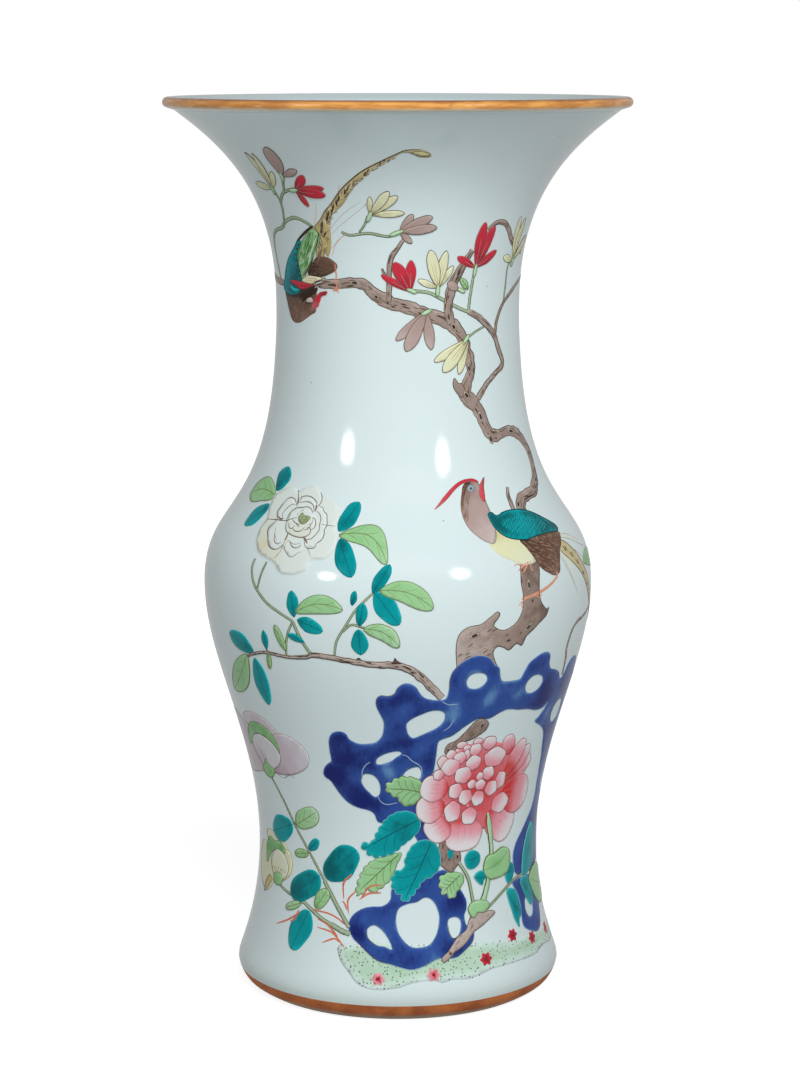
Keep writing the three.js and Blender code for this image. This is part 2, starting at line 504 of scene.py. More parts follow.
def noise(tree, scale, detail=3.0, stretch=(1.0, 1.0, 1.0)):
    """Noise over the object's own coordinates, whose scale is in features to the metre."""
    place_node = tree.nodes.new("ShaderNodeTexCoord")
    mapping = tree.nodes.new("ShaderNodeMapping")
    mapping.inputs["Scale"].default_value = stretch
    tree.links.new(place_node.outputs["Object"], mapping.inputs["Vector"])
    node = tree.nodes.new("ShaderNodeTexNoise")
    node.inputs["Detail"].default_value = detail
    put(scale, node.inputs["Scale"], tree)
    tree.links.new(mapping.outputs["Vector"], node.inputs["Vector"])
    return node.outputs["Fac"]


def position(tree):
    """Where a point is on the object, in metres, as the outputs X, Y and Z."""
    where = tree.nodes.new("ShaderNodeTexCoord")
    split = tree.nodes.new("ShaderNodeSeparateXYZ")
    tree.links.new(where.outputs["Object"], split.inputs["Vector"])
    return split.outputs


def height_above_floor(tree):
    return position(tree)["Z"]


def distance_from_axis(tree):
    spot = position(tree)
    squares = [maths(tree, "MULTIPLY", spot[name], spot[name]) for name in "XY"]
    return maths(tree, "SQRT", maths(tree, "ADD", *squares))


def ramp(tree, value, low, high):
    """Rises from 0 to 1 as a value goes from low to high."""
    node = tree.nodes.new("ShaderNodeMapRange")
    node.interpolation_type = "SMOOTHSTEP"
    put(value, node.inputs["Value"], tree)
    put(low, node.inputs["From Min"], tree)
    put(high, node.inputs["From Max"], tree)
    return node.outputs["Result"]


def brushed_enamel_group():
    """Enamel brushed thin and thick: three tones by how heavy the wash is, mottled by the brush."""
    inputs = [
        ("Wash", "NodeSocketFloat", 0.5),
        ("Thin", "NodeSocketColor", (1, 1, 1, 1)),
        ("Middle", "NodeSocketColor", (0.5, 0.5, 0.5, 1)),
        ("Thick", "NodeSocketColor", (0, 0, 0, 1)),
        ("Mottle Scale", "NodeSocketFloat", 300.0),
        ("Mottle Amount", "NodeSocketFloat", 0.3),
    ]
    outputs = [("Color", "NodeSocketColor"), ("Roughness", "NodeSocketFloat"), ("Height", "NodeSocketFloat")]
    tree, taken, given = new_group("brushed_enamel", inputs, outputs)
    clouds = noise(tree, taken.outputs["Mottle Scale"], detail=4.0)
    brush = noise(tree, 900.0, detail=2.0, stretch=(1.0, 1.0, 0.25))
    uneven = maths(tree, "ADD", maths(tree, "MULTIPLY", brush, 0.2), maths(tree, "MULTIPLY", clouds, 0.8))
    swing = maths(tree, "MULTIPLY", maths(tree, "SUBTRACT", uneven, 0.5), taken.outputs["Mottle Amount"])
    weight = maths(tree, "ADD", taken.outputs["Wash"], maths(tree, "MULTIPLY", swing, 2.0), clamp=True)
    thin_part = ramp(tree, weight, 0.0, 0.5)
    thick_part = ramp(tree, weight, 0.5, 1.0)
    lighter = blend(tree, thin_part, taken.outputs["Thin"], taken.outputs["Middle"])
    colour = blend(tree, thick_part, lighter, taken.outputs["Thick"])
    tree.links.new(colour, given.inputs["Color"])
    tree.links.new(maths(tree, "MULTIPLY_ADD", clouds, 0.12, 0.14), given.inputs["Roughness"])
    tree.links.new(maths(tree, "MULTIPLY_ADD", weight, 0.5, maths(tree, "MULTIPLY", brush, 0.3)), given.inputs["Height"])
    return tree


def fired_surface_group():
    """What the kiln leaves on every glazed surface: soft ripples, pinholes and fine iron specks."""
    inputs = [("Ripple Scale", "NodeSocketFloat", 60.0), ("Speck Share", "NodeSocketFloat", 0.1)]
    outputs = [("Height", "NodeSocketFloat"), ("Specks", "NodeSocketFloat"), ("Clouds", "NodeSocketFloat")]
    tree, taken, given = new_group("fired_surface", inputs, outputs)
    ripples = noise(tree, taken.outputs["Ripple Scale"], detail=2.0)
    peel = noise(tree, 700.0, detail=1.0)
    throwing = noise(tree, 1.0, detail=3.0, stretch=(3.0, 3.0, 160.0))
    cells = tree.nodes.new("ShaderNodeTexVoronoi")
    cells.inputs["Scale"].default_value = 95.0
    spot = tree.nodes.new("ShaderNodeTexCoord")
    tree.links.new(spot.outputs["Object"], cells.inputs["Vector"])
    pick = tree.nodes.new("ShaderNodeSeparateColor")
    tree.links.new(cells.outputs["Color"], pick.inputs["Color"])
    chosen = maths(tree, "LESS_THAN", pick.outputs["Red"], taken.outputs["Speck Share"])
    size = maths(tree, "MULTIPLY_ADD", pick.outputs["Green"], 0.05, 0.015)
    near = maths(tree, "SUBTRACT", 1.0, ramp(tree, cells.outputs["Distance"], maths(tree, "MULTIPLY", size, 0.5), size))
    specks = maths(tree, "MULTIPLY", chosen, near)
    height = maths(tree, "MULTIPLY_ADD", peel, 0.06, maths(tree, "MULTIPLY_ADD", throwing, 0.35, ripples))
    tree.links.new(maths(tree, "SUBTRACT", height, maths(tree, "MULTIPLY", specks, 0.3)), given.inputs["Height"])
    tree.links.new(specks, given.inputs["Specks"])
    tree.links.new(noise(tree, 14.0, detail=4.0), given.inputs["Clouds"])
    return tree


# Materials


def colour(red, green, blue):
    """A linear colour from the 8-bit values that a screen shows."""
    linear = [((c / 255 + 0.055) / 1.055) ** 2.4 if c > 10 else c / 255 / 12.92 for c in (red, green, blue)]
    return (*linear, 1.0)


BRUSHED_ENAMEL = brushed_enamel_group()
FIRED_SURFACE = fired_surface_group()


def new_material(name):
    """An empty node material, with its tree and its Principled shader."""
    material = bpy.data.materials.new(name)
    material.use_nodes = True
    return material, material.node_tree, material.node_tree.nodes["Principled BSDF"]


def add_group(tree, group, **values):
    """A group node in a material, with its own input values."""
    node = tree.nodes.new("ShaderNodeGroup")
    node.node_tree = group
    for name, value in values.items():
        put(value, node.inputs[name.replace("_", " ")], tree)
    return node


def add_bump(tree, shader, height, strength, distance):
    """A bump of a real depth, in millimetres."""
    bump = tree.nodes.new("ShaderNodeBump")
    bump.inputs["Strength"].default_value = strength
    bump.inputs["Distance"].default_value = distance * MM
    tree.links.new(height, bump.inputs["Height"])
    tree.links.new(bump.outputs["Normal"], shader.inputs["Normal"])


def enamel(name, thin, middle, thick, mottle=0.3, mottle_scale=300.0):
    """An overglaze enamel, from its thinnest wash to its thickest."""
    material, tree, shader = new_material(name)
    wash = tree.nodes.new("ShaderNodeAttribute")
    wash.attribute_name = "wash"
    brushed = add_group(
        tree,
        BRUSHED_ENAMEL,
        Wash=wash.outputs["Fac"],
        Thin=colour(*thin),
        Middle=colour(*middle),
        Thick=colour(*thick),
        Mottle_Scale=mottle_scale,
        Mottle_Amount=mottle,
    )
    tree.links.new(brushed.outputs["Color"], shader.inputs["Base Color"])
    tree.links.new(brushed.outputs["Roughness"], shader.inputs["Roughness"])
    shader.inputs["Specular IOR Level"].default_value = ENAMEL_SPECULAR
    add_bump(tree, shader, brushed.outputs["Height"], 0.35, 0.12)
    return material


COBALT = enamel("cobalt_enamel", (96, 140, 190), (50, 82, 156), (26, 38, 108), 0.7, 62.0)
COBALT_LINE = enamel("cobalt_line_enamel", (150, 178, 205), (60, 80, 140), (20, 24, 70), 0.15)
TURQUOISE = enamel("turquoise_enamel", (24, 184, 188), (0, 152, 158), (0, 98, 104), 0.5, 120.0)
TURQUOISE_LINE = enamel("turquoise_line_enamel", (120, 190, 190), (8, 96, 104), (4, 58, 66), 0.15)
GREEN = enamel("green_enamel", (186, 222, 184), (154, 206, 148), (104, 168, 96), 0.4, 140.0)
SAGE = enamel("sage_enamel", (200, 214, 196), (164, 184, 156), (120, 140, 100), 0.26, 220.0)
OLIVE_LINE = enamel("olive_line_enamel", (150, 160, 110), (112, 122, 74), (70, 80, 44), 0.25)
MOSS = enamel("moss_wash_enamel", (221, 237, 238), (200, 228, 212), (178, 212, 184), 0.4, 120.0)
ROSE = enamel("rose_enamel", (231, 227, 230), (234, 158, 170), (214, 56, 58), 0.14, 220.0)
ROSE_LINE = enamel("rose_line_enamel", (208, 170, 166), (174, 116, 112), (126, 74, 70), 0.2)
IRON_RED = enamel("iron_red_enamel", (226, 110, 120), (204, 52, 70), (150, 40, 52), 0.2, 200.0)
LILAC = enamel("lilac_enamel", (220, 220, 224), (208, 194, 204), (174, 146, 162), 0.4, 120.0)
MAUVE = enamel("mauve_enamel", (204, 190, 186), (178, 156, 150), (128, 104, 96), 0.26, 160.0)
CREAM = enamel("cream_enamel", (224, 234, 230), (221, 228, 213), (221, 211, 165), 0.22, 120.0)
LEMON = enamel("lemon_enamel", (228, 234, 212), (226, 228, 186), (202, 194, 132), 0.3, 140.0)
BARK = enamel("bark_enamel", (190, 176, 168), (156, 138, 128), (104, 84, 72), 0.5, 160.0)
PLUMAGE = enamel("plumage_enamel", (150, 122, 104), (104, 76, 60), (52, 36, 28), 0.4, 260.0)
OCHRE = enamel("ochre_enamel", (222, 214, 180), (200, 186, 130), (150, 130, 70), 0.26, 300.0)
CORAL = enamel("coral_line_enamel", (226, 166, 138), (212, 122, 92), (176, 78, 52), 0.3)
SEPIA = enamel("sepia_line_enamel", (176, 160, 140), (128, 108, 92), (62, 48, 42), 0.22)


def porcelain():
    """Pale bluish porcelain glaze, cloudy, faintly ringed from throwing and flecked with iron."""
    material, tree, shader = new_material("glazed_porcelain")
    fired = add_group(tree, FIRED_SURFACE, Ripple_Scale=38.0, Speck_Share=0.16)
    base = blend(tree, fired.outputs["Clouds"], colour(225, 241, 241), colour(216, 232, 234))
    low_pool = maths(tree, "SUBTRACT", 1.0, ramp(tree, height_above_floor(tree), 0.009, 0.022))
    base = blend(tree, maths(tree, "MULTIPLY", low_pool, 0.5), base, colour(190, 206, 200))
    base = blend(tree, maths(tree, "MULTIPLY", fired.outputs["Specks"], 0.7), base, colour(84, 84, 78))
    tree.links.new(base, shader.inputs["Base Color"])
    roughness = maths(tree, "MULTIPLY_ADD", fired.outputs["Clouds"], 0.08, 0.07)
    tree.links.new(roughness, shader.inputs["Roughness"])
    shader.inputs["Specular IOR Level"].default_value = 0.45
    add_bump(tree, shader, fired.outputs["Height"], 0.25, 0.35)
    return material


def iron_dressing():
    """The iron-brown dressing of the lip: streaked, buff at its lower edge, and only on the outer side."""
    material, tree, shader = new_material("iron_brown_dressing")
    fired = add_group(tree, FIRED_SURFACE, Ripple_Scale=180.0, Speck_Share=0.5)
    streaks = noise(tree, 60.0, detail=6.0, stretch=(1.0, 1.0, 8.0))
    flecks = noise(tree, 700.0, detail=3.0)
    base = blend(tree, ramp(tree, streaks, 0.38, 0.6), colour(238, 172, 90), colour(206, 136, 64))
    upward = maths(tree, "MULTIPLY_ADD", streaks, DRESSING_WANDER * MM, height_above_floor(tree))
    crown = ramp(tree, upward, *(MM * level for level in DRESSING_CROWN))
    base = blend(tree, crown, base, colour(142, 84, 36))
    base = blend(tree, maths(tree, "MULTIPLY", ramp(tree, flecks, 0.62, 0.74), 0.6), base, colour(120, 76, 40))
    base = blend(tree, ramp(tree, streaks, 0.62, 0.76), base, colour(232, 204, 152))
    buff = ramp(tree, upward, *(MM * level for level in DRESSING_FOOT))
    base = blend(tree, buff, colour(222, 218, 196), base)
    inward = maths(tree, "MULTIPLY_ADD", streaks, DRESSING_WANDER * MM, distance_from_axis(tree))
    outer = ramp(tree, inward, *(MM * radius for radius in DRESSING_TOP))
    # The glaze inside the lip is greyer towards its top.
    greying = ramp(tree, height_above_floor(tree), *(MM * level for level in LIP_GREYING))
    inside = blend(tree, greying, colour(222, 238, 239), colour(190, 204, 206))
    base = blend(tree, outer, inside, base)
    tree.links.new(base, shader.inputs["Base Color"])
    bare = maths(tree, "MULTIPLY", outer, maths(tree, "MULTIPLY_ADD", flecks, 0.24, 0.02))
    tree.links.new(maths(tree, "ADD", bare, 0.1), shader.inputs["Roughness"])
    add_bump(tree, shader, maths(tree, "ADD", fired.outputs["Height"], flecks), 0.4, 0.2)
    return material


def bare_clay():
    """The unglazed foot: burnt orange by the glaze, grey and grimy where it rests."""
    material, tree, shader = new_material("bare_porcelain")
    fired = add_group(tree, FIRED_SURFACE, Ripple_Scale=300.0, Speck_Share=0.8)
    stains = noise(tree, 90.0, detail=6.0)
    grain = noise(tree, 1400.0, detail=2.0)
    base = blend(tree, ramp(tree, stains, 0.3, 0.7), colour(210, 122, 60), colour(166, 88, 42))
    level = maths(tree, "MULTIPLY_ADD", stains, 0.003, height_above_floor(tree))
    grey = maths(tree, "SUBTRACT", 1.0, ramp(tree, level, 0.0035, 0.0065))
    base = blend(tree, grey, base, colour(176, 158, 134))
    base = blend(tree, maths(tree, "MULTIPLY", ramp(tree, grain, 0.58, 0.7), 0.5), base, colour(88, 66, 48))
    tree.links.new(base, shader.inputs["Base Color"])
    tree.links.new(maths(tree, "MULTIPLY_ADD", grain, 0.25, 0.6), shader.inputs["Roughness"])
    add_bump(tree, shader, maths(tree, "ADD", fired.outputs["Height"], grain), 0.6, 0.25)
    return material


# The pot itself


def revolve(name, profile, material, nodes):
    """A closed solid of revolution from (radius, height) points, standing for CAD nodes."""
    vertices = []
    rows = []
    turns = 2 * np.pi * np.arange(SEGMENTS_ROUND) / SEGMENTS_ROUND
    for radius, height in profile:
        start = len(vertices)
        if radius < 1e-6:
            vertices.append((0.0, 0.0, height * MM))
            rows.append([start] * SEGMENTS_ROUND)
            continue
        vertices += [(radius * math.sin(t) * MM, -radius * math.cos(t) * MM, height * MM) for t in turns]
        rows.append(list(range(start, start + SEGMENTS_ROUND)))
    faces = []
    for i, low in enumerate(rows):
        high = rows[(i + 1) % len(rows)]
        for k in range(SEGMENTS_ROUND):
            following = (k + 1) % SEGMENTS_ROUND
            faces.append(list(dict.fromkeys([low[k], low[following], high[following], high[k]])))
    faces = [face for face in faces if len(face) > 2]
    mesh = bpy.data.meshes.new(name)
    mesh.from_pydata(vertices, [], faces)
    mesh.polygons.foreach_set("use_smooth", [True] * len(faces))
    mesh.materials.append(material)
    mesh.update()
    mesh.set_sharp_from_angle(angle=math.radians(CORNER_TURN))
    piece = bpy.data.objects.new(name, mesh)
    bpy.context.scene.collection.objects.link(piece)
    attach(piece, "root")
    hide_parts(*nodes)
    return piece


def heights_between(low, high, step):
    """Heights from low to high, about a step apart."""
    return np.linspace(low, high, max(2, int(round(abs(high - low) / step)) + 1))


def inner_profile():
    """The inner wall from the mouth down, with the ridge of slip that each joint squeezed out inside."""
    ridges = []
    for seam in SEAM_NODES:
        heights, _, inner = node_rings(seam)
        middle = (heights[0] + heights[-1]) / 2
        ridges.append((middle, smooth_values(np.array([middle]), *INNER_WALL)[0] - inner.min()))
    levels = heights_between(MOUTH_HEIGHT, float(INNER_WALL[0][0]), RING_SPACING)
    for middle, _ in ridges:
        levels = levels[np.abs(levels - middle) > RIDGE_REACH]
        levels = np.concatenate([levels, middle + np.linspace(-RIDGE_REACH, RIDGE_REACH, 9)])
    levels = np.sort(levels)[::-1]
    radii = smooth_values(levels, *INNER_WALL)
    for middle, ridge in ridges:
        radii -= ridge * np.exp(-(((levels - middle) / (RIDGE_REACH / 2.2)) ** 2))
    return [(float(r), float(z)) for r, z in zip(radii, levels)]


def glazed_body():
    """The glazed wall, inside and out, with its floor: the firing makes one body of them all."""
    outside = [(float(wall_radius(z)), float(z)) for z in heights_between(GLAZE_LINE, MOUTH_HEIGHT, RING_SPACING)]
    lowest = float(INNER_WALL[0][0])
    dish_heights, dish_radii, _ = node_rings("floor")
    dish = [(float(r), float(z)) for z, r in zip(dish_heights[::-1], dish_radii[::-1]) if GLAZE_LINE + 1 < z < lowest]
    middle = [(0.0, dish[-1][1]), (0.0, GLAZE_LINE)]
    nodes = (*WALL_NODES, "floor")
    return revolve("glazed_body", [*outside, *inner_profile(), *dish, *middle], porcelain(), nodes)


def lip():
    """The rounded lip, a bead on the end of the wall."""
    heights, outer, inner = node_rings("lip_band")
    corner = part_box("lip_band")[1]
    centre_radius = corner.x / MM - LIP_BEAD
    centre_height = corner.z / MM - LIP_BEAD
    turns = np.radians(np.linspace(*LIP_TURN, 24))
    bead = [(centre_radius + LIP_BEAD * math.cos(t), centre_height + LIP_BEAD * math.sin(t)) for t in turns]
    wall_end = float(heights[0])
    profile = [(float(outer[0]), wall_end), *bead, (float(inner[0]), wall_end)]
    return revolve("lip", profile, iron_dressing(), ("lip_band",))


def foot():
    """The bare foot ring, turned to a wedge and softened by wear where it rests."""
    heights, outer, inner = node_rings("foot_ring")
    levels = heights_between(FOOT_WEAR, float(heights[-1]), 0.8)
    outside = [(float(r), float(z)) for r, z in zip(smooth_values(levels, heights, outer), levels)]
    hollow_top = (float(inner[-1]), float(heights[-1]))
    hollow_low = (float(inner[0]), float(heights[0]))
    rise = (hollow_top[0] - hollow_low[0]) / (hollow_top[1] - hollow_low[1])
    inside = [(hollow_low[0] + rise * z, z) for z in (6.0, 3.0, FOOT_WEAR)]
    sole = [
        (hollow_low[0] + 0.25 * FOOT_WEAR, 0.25 * FOOT_WEAR),
        (hollow_low[0] + FOOT_WEAR, 0.0),
        (float(outer[0]) - 0.6 * FOOT_WEAR, 0.0),
        (float(outer[0]) + 0.3 * FOOT_WEAR, 0.3 * FOOT_WEAR),
    ]
    profile = [*outside, hollow_top, *inside, *sole]
    return revolve("foot", profile, bare_clay(), ("foot_ring",))


# Brushwork: how each kind of thing is painted

# Each enamel's material and slot, how thick it stands in millimetres, and how much its wash thins at its edge.
ENAMELS = {
    "cobalt": (COBALT, "blue_enamel", 0.12, 0.4),
    "cobalt_line": (COBALT_LINE, "blue_enamel", 0.02, 0),
    "turquoise": (TURQUOISE, "turquoise_enamel", 0.12, 0.42),
    "turquoise_line": (TURQUOISE_LINE, "turquoise_enamel", 0.02, 0),
    "green": (GREEN, "green_enamel", 0.1, 0.2),
    "sage": (SAGE, "green_enamel", 0.06, 0),
    "olive_line": (OLIVE_LINE, "line_enamel", 0.02, 0),
    "moss": (MOSS, "green_enamel", 0.012, 0),
    "rose": (ROSE, "rose_enamel", 0.016, 0),
    "rose_line": (ROSE_LINE, "rose_enamel", 0.02, 0),
    "iron_red": (IRON_RED, "rose_enamel", 0.05, 0),
    "lilac": (LILAC, "rose_enamel", 0.03, 0),
    "mauve": (MAUVE, "rose_enamel", 0.05, 0),
    "cream": (CREAM, "yellow_enamel", 0.016, 0),
    "lemon": (LEMON, "yellow_enamel", 0.05, 0),
    "bark": (BARK, "brown_enamel", 0.05, 0.15),
    "plumage": (PLUMAGE, "brown_enamel", 0.04, 0),
    "ochre": (OCHRE, "brown_enamel", 0.04, 0),
    "coral_line": (CORAL, "line_enamel", 0.02, 0),
    "sepia": (SEPIA, "line_enamel", 0.02, 0),
}
PAINTED = {}
BRUSH = random.Random(11)


def on(motif, enamel_name):
    """The piece that gathers one enamel of one motif."""
    name = f"{motif}_{enamel_name}"
    if name not in PAINTED:
        PAINTED[name] = EnamelPiece(name, *ENAMELS[enamel_name])
    return PAINTED[name]


def stroke(motif, enamel_name, points, width, wash=1.0, taper=(0.35, 0.35)):
    """One brush line along chart points."""
    spacing = 0.7 if width < 0.9 else 1.0
    on(motif, enamel_name).line(curve_through(points, spacing=spacing), width, wash, taper)


def strokes(motif, enamel_name, width, wash, *paths, taper=(0.35, 0.35)):
    """Several brush lines of one width."""
    for path in paths:
        stroke(motif, enamel_name, path, width, wash, taper)


def area(motif, enamel_name, points, wash=0.5, holes=(), edge=None, fine=0.8):
    """A painted area inside chart points, with an edge of (enamel, width, wash) if it has one."""
    outline = curve_through(points, closed=True, spacing=fine)
    loops = [curve_through(hole, closed=True, spacing=fine) for hole in holes]
    on(motif, enamel_name).patch(outline, wash, loops, spacing=max(fine * 1.6, 0.8))
    if edge:
        line, width, weight = edge
        for loop in (outline, *loops):
            on(motif, line).line(loop, width, weight, closed=True)
    return outline


def blade(base, tip, width, shape, bend=0.0, fine=0.8, uneven=0.0):
    """The outline of a leaf or petal, and its spine. The shape is how it swells from base and from tip."""
    reach = np.array(offset_between(base, tip))
    length = math.hypot(*reach)
    along = reach / length
    across = np.array([-along[1], along[0]])
    share = (1 - np.cos(np.linspace(0, np.pi, int(length / fine) + 8))) / 2
    half = share ** shape[0] * (1 - share) ** shape[1]
    half *= width / 2 / half.max()
    spine = share[:, None] * length * along + (bend * length * np.sin(np.pi * share))[:, None] * across
    sides = []
    for side in (1, -1):
        swell = np.sin(share * BRUSH.uniform(5, 9) + BRUSH.uniform(0, 6)) if uneven else 0.0
        sides.append(spine + (side * half * (1 + uneven * swell))[:, None] * across)
    left, right = sides
    outline = place(base, np.concatenate([left[1:], right[1:-1][::-1], spine[:1]]))
    return outline, spine, half, across


def leaf(motif, enamel_name, base, tip, width, bend=0.0, shape=(0.68, 0.6)):
    """A leaf, heavier in colour towards its base. A green one has an inked outline, midrib and veins."""
    outline, spine, half, across = blade(base, tip, width, shape, bend, uneven=0.07)
    rise = fade(tip, base)
    light, gain = (BRUSH.uniform(0.4, 0.72), 0.3) if enamel_name == "turquoise" else (BRUSH.uniform(0.2, 0.5), 0.25)
    on(motif, enamel_name).patch(outline, lambda points: light + gain * rise(points), spacing=1.2)
    count = len(spine)
    middle = spine[: int(count * 0.93)]
    if enamel_name == "turquoise":
        on(motif, "turquoise_line").line(place(base, middle), 0.3, 0.6, (1, 0.3))
        stroke(motif, "turquoise_line", place(base, spine[int(count * 0.9):]), 0.5, 0.9, (1, 0.4))
        return
    on(motif, "olive_line").line(outline, 0.26, 0.4, closed=True)
    on(motif, "olive_line").line(place(base, middle), 0.3, 0.55, (1, 0.3))
    stroke(motif, "olive_line", place(base, spine[int(count * 0.9):]), 0.45, 0.8, (1, 0.4))
    for start in (0.22, 0.4, 0.58):
        first = int(count * start)
        last = min(int(first + count * 0.18), count - 2)
        for side in (-1, 1):
            far = spine[last] + across * side * half[last] * 0.75
            bent = (spine[first] + far) / 2 + (spine[last] - spine[first]) * 0.12
            stroke(motif, "olive_line", place(base, [spine[first], bent, far]), 0.2, 0.2, (0.8, 0.3))


def leaves(motif, turquoise=(), green=(), shape=(0.68, 0.6)):
    """Several leaves, each a base, a tip, a width and at times a bend."""
    for enamel_name, listed in (("turquoise", turquoise), ("green", green)):
        for base, tip, width, *bend in listed:
            leaf(motif, enamel_name, base, tip, width, *bend, shape=shape)


def toothed(points, base, size, step):
    """An outline whose edge is toothed, the more so the farther it is from the leaf's base."""
    outline = curve_through(points, closed=True, spacing=0.55)
    scale = np.array([millimetres_per_degree(outline[:, 1].mean()), 1.0])
    flat = outline * scale
    slope = np.roll(flat, -1, axis=0) - np.roll(flat, 1, axis=0)
    square = np.stack([slope[:, 1], -slope[:, 0]], axis=1) / np.hypot(*slope.T)[:, None]
    x, y = flat.T
    if (x * np.roll(y, -1) - np.roll(x, -1) * y).sum() < 0:
        square = -square
    away = np.hypot(*(flat - np.array(base) * scale).T)
    away = away / away.max()
    teeth = np.abs(np.sin(np.pi * 0.55 * np.arange(len(flat)) / step))
    return (flat + square * (size * away**1.3 * (teeth - 0.5))[:, None]) / scale


def wide_leaf(motif, enamel_name, points, base, tip, size=1.5, step=4.0, ribs=4):
    """A broad toothed leaf inside chart points, with a midrib and curved ribs."""
    outline = toothed(points, base, size, step)
    rise = fade(tip, base)
    on(motif, enamel_name).patch(outline, lambda spots: 0.34 + 0.36 * rise(spots), spacing=1.3)
    ink, edge_weight = ("turquoise_line", 0.0) if enamel_name == "turquoise" else ("olive_line", 0.45)
    on(motif, ink).line(outline, 0.26, edge_weight, closed=True)
    middle = [base, ((base[0] + tip[0]) / 2 + 0.6, (base[1] + tip[1]) / 2 + 0.8), tip]
    stroke(motif, ink, middle, 0.42, 0.75, (1, 0.3))
    reach = np.array(offset_between(base, tip))
    across = np.array([-reach[1], reach[0]])
    for i in range(1, ribs + 1):
        start = reach * (i / (ribs + 1.4))
        for side in (-1, 1):
            for part in (0.34, 0.27, 0.2):
                far = start + reach * 0.2 + across * side * part
                if within(place(base, [far]), [outline])[0]:
                    bent = start + (far - start) * 0.5 + reach * 0.035
                    stroke(motif, ink, place(base, [start, bent, far]), 0.26, 0.5, (0.8, 0.3))
                    break


def petal(motif, enamel_name, base, tip, width, line, wash=(1.0, 0.0, 1.5), veins=2, edge=(0.24, 0.5), shape=(0.55, 0.42)):
    """A petal whose colour goes from one weight at its base to another at its tip."""
    outline, spine, half, across = blade(base, tip, width, shape, fine=0.7, uneven=0.05)
    rise = fade(tip, base)
    deep, pale, power = wash
    on(motif, enamel_name).patch(outline, lambda points: pale + (deep - pale) * rise(points) ** power, spacing=0.95)
    on(motif, line).line(outline, *edge, closed=True)
    count = len(spine)
    for i in range(veins):
        aside = (i + 1) / (veins + 1) * 2 - 1
        first = int(count * 0.18)
        last = int(count * 0.62)
        path = spine[first:last] + across * (aside * 0.7 * half[first:last])[:, None]
        on(motif, line).line(place(base, path), 0.18, 0.25, (0.8, 0.2))


def rosette(motif, heart, listed, line, wash, enamel_name="rose", edge=(0.22, 0.5)):
    """Small rounded petals turned from a flower's heart: each a centre and half its width and height."""
    deep, pale, power = wash
    for i, (azimuth, height, half_width, half_height) in enumerate(listed):
        turns = np.linspace(0, 2 * np.pi, max(16, int(half_height * 7)), endpoint=False)
        across, up = offset_between(heart, (azimuth, height))
        pull = math.hypot(across, up) + 1e-6
        across /= pull
        up /= pull
        wide = half_width * millimetres_per_degree(height)
        shape = np.stack([wide * np.cos(turns), half_height * np.sin(turns)], axis=1)
        outward = shape @ np.array([across, up]) / max(wide, half_height)
        frill = 1 + 0.05 * np.cos(5 * turns + i)
        shape *= (frill * (1 + 0.1 * outward))[:, None]
        reach = max(wide, half_height) * 0.95
        outer = place((azimuth, height), [(across * reach, up * reach)])[0]
        inner = place((azimuth, height), [(-across * reach, -up * reach)])[0]
        rise = fade(outer, inner)
        outline = place((azimuth, height), shape)
        weight = lambda points, rise=rise: pale + (deep - pale) * rise(points) ** power
        on(motif, enamel_name).patch(outline, weight, spacing=0.8)
        on(motif, line).line(outline, *edge, closed=True)


def limb(motif, points, enamel_name="bark", rough=0.13, weight=0.4):
    """A branch along (azimuth, height, width) points: of bark with inked strokes, or a green stem."""
    knots = np.array(points, float)
    scale = np.array([millimetres_per_degree(knots[:, 1].mean()), 1.0])
    reached = np.concatenate([[0], np.cumsum(np.hypot(*(np.diff(knots[:, :2], axis=0) * scale).T))])
    centre = curve_through(knots[:, :2], spacing=1.0)
    count = len(centre)
    widths = np.interp(np.linspace(0, reached[-1], count), reached, knots[:, 2])
    scale = np.stack([millimetres_per_degree(centre[:, 1]), np.ones(count)], axis=1)
    slope = np.gradient(centre, axis=0) * scale
    across = np.stack([-slope[:, 1], slope[:, 0]], axis=1) / np.hypot(*slope.T)[:, None]
    sides = []
    for side in (-1, 1):
        uneven = np.convolve([BRUSH.uniform(-1, 1) for _ in range(count + 2)], [0.3, 0.4, 0.3], "valid")
        half = widths / 2 * (1 + rough * 1.8 * uneven)
        sides.append(centre + side * across * half[:, None] / scale)
    outline = np.concatenate([sides[1], sides[0][::-1]])
    fine = min(1.3, max(0.7, widths.mean() * 0.45))
    on(motif, enamel_name).patch(outline, weight, spacing=fine)
    barked = enamel_name == "bark"
    line = "sepia" if barked else "olive_line"
    for edge, heavy in zip(sides, (0.9, 0.6)):
        on(motif, line).line(edge, 0.4 if barked else 0.32, heavy, (0.6, 0.6))
    i = 2
    while barked and i < count - 6:
        run = BRUSH.randint(2, 6)
        aside = BRUSH.uniform(-0.36, 0.36)
        part = slice(i, min(i + run, count))
        path = centre[part] + across[part] * (aside * widths[part])[:, None] / scale[part]
        if len(path) > 1:
            heavy = min(BRUSH.uniform(0.3, 0.22 * widths[i] + 0.2), 0.9)
            on(motif, "sepia").line(path, heavy, BRUSH.uniform(0.45, 1.0), (0.3, 0.3))
        i += BRUSH.randint(1, 2) if widths[i] > 3 else BRUSH.randint(1, 4)


def stems(motif, *listed):
    """Green stems, each a width and the points that it passes through."""
    for width, *points in listed:
        limb(motif, [(azimuth, height, width * 0.85) for azimuth, height in points], "sage", 0.07, 0.45)


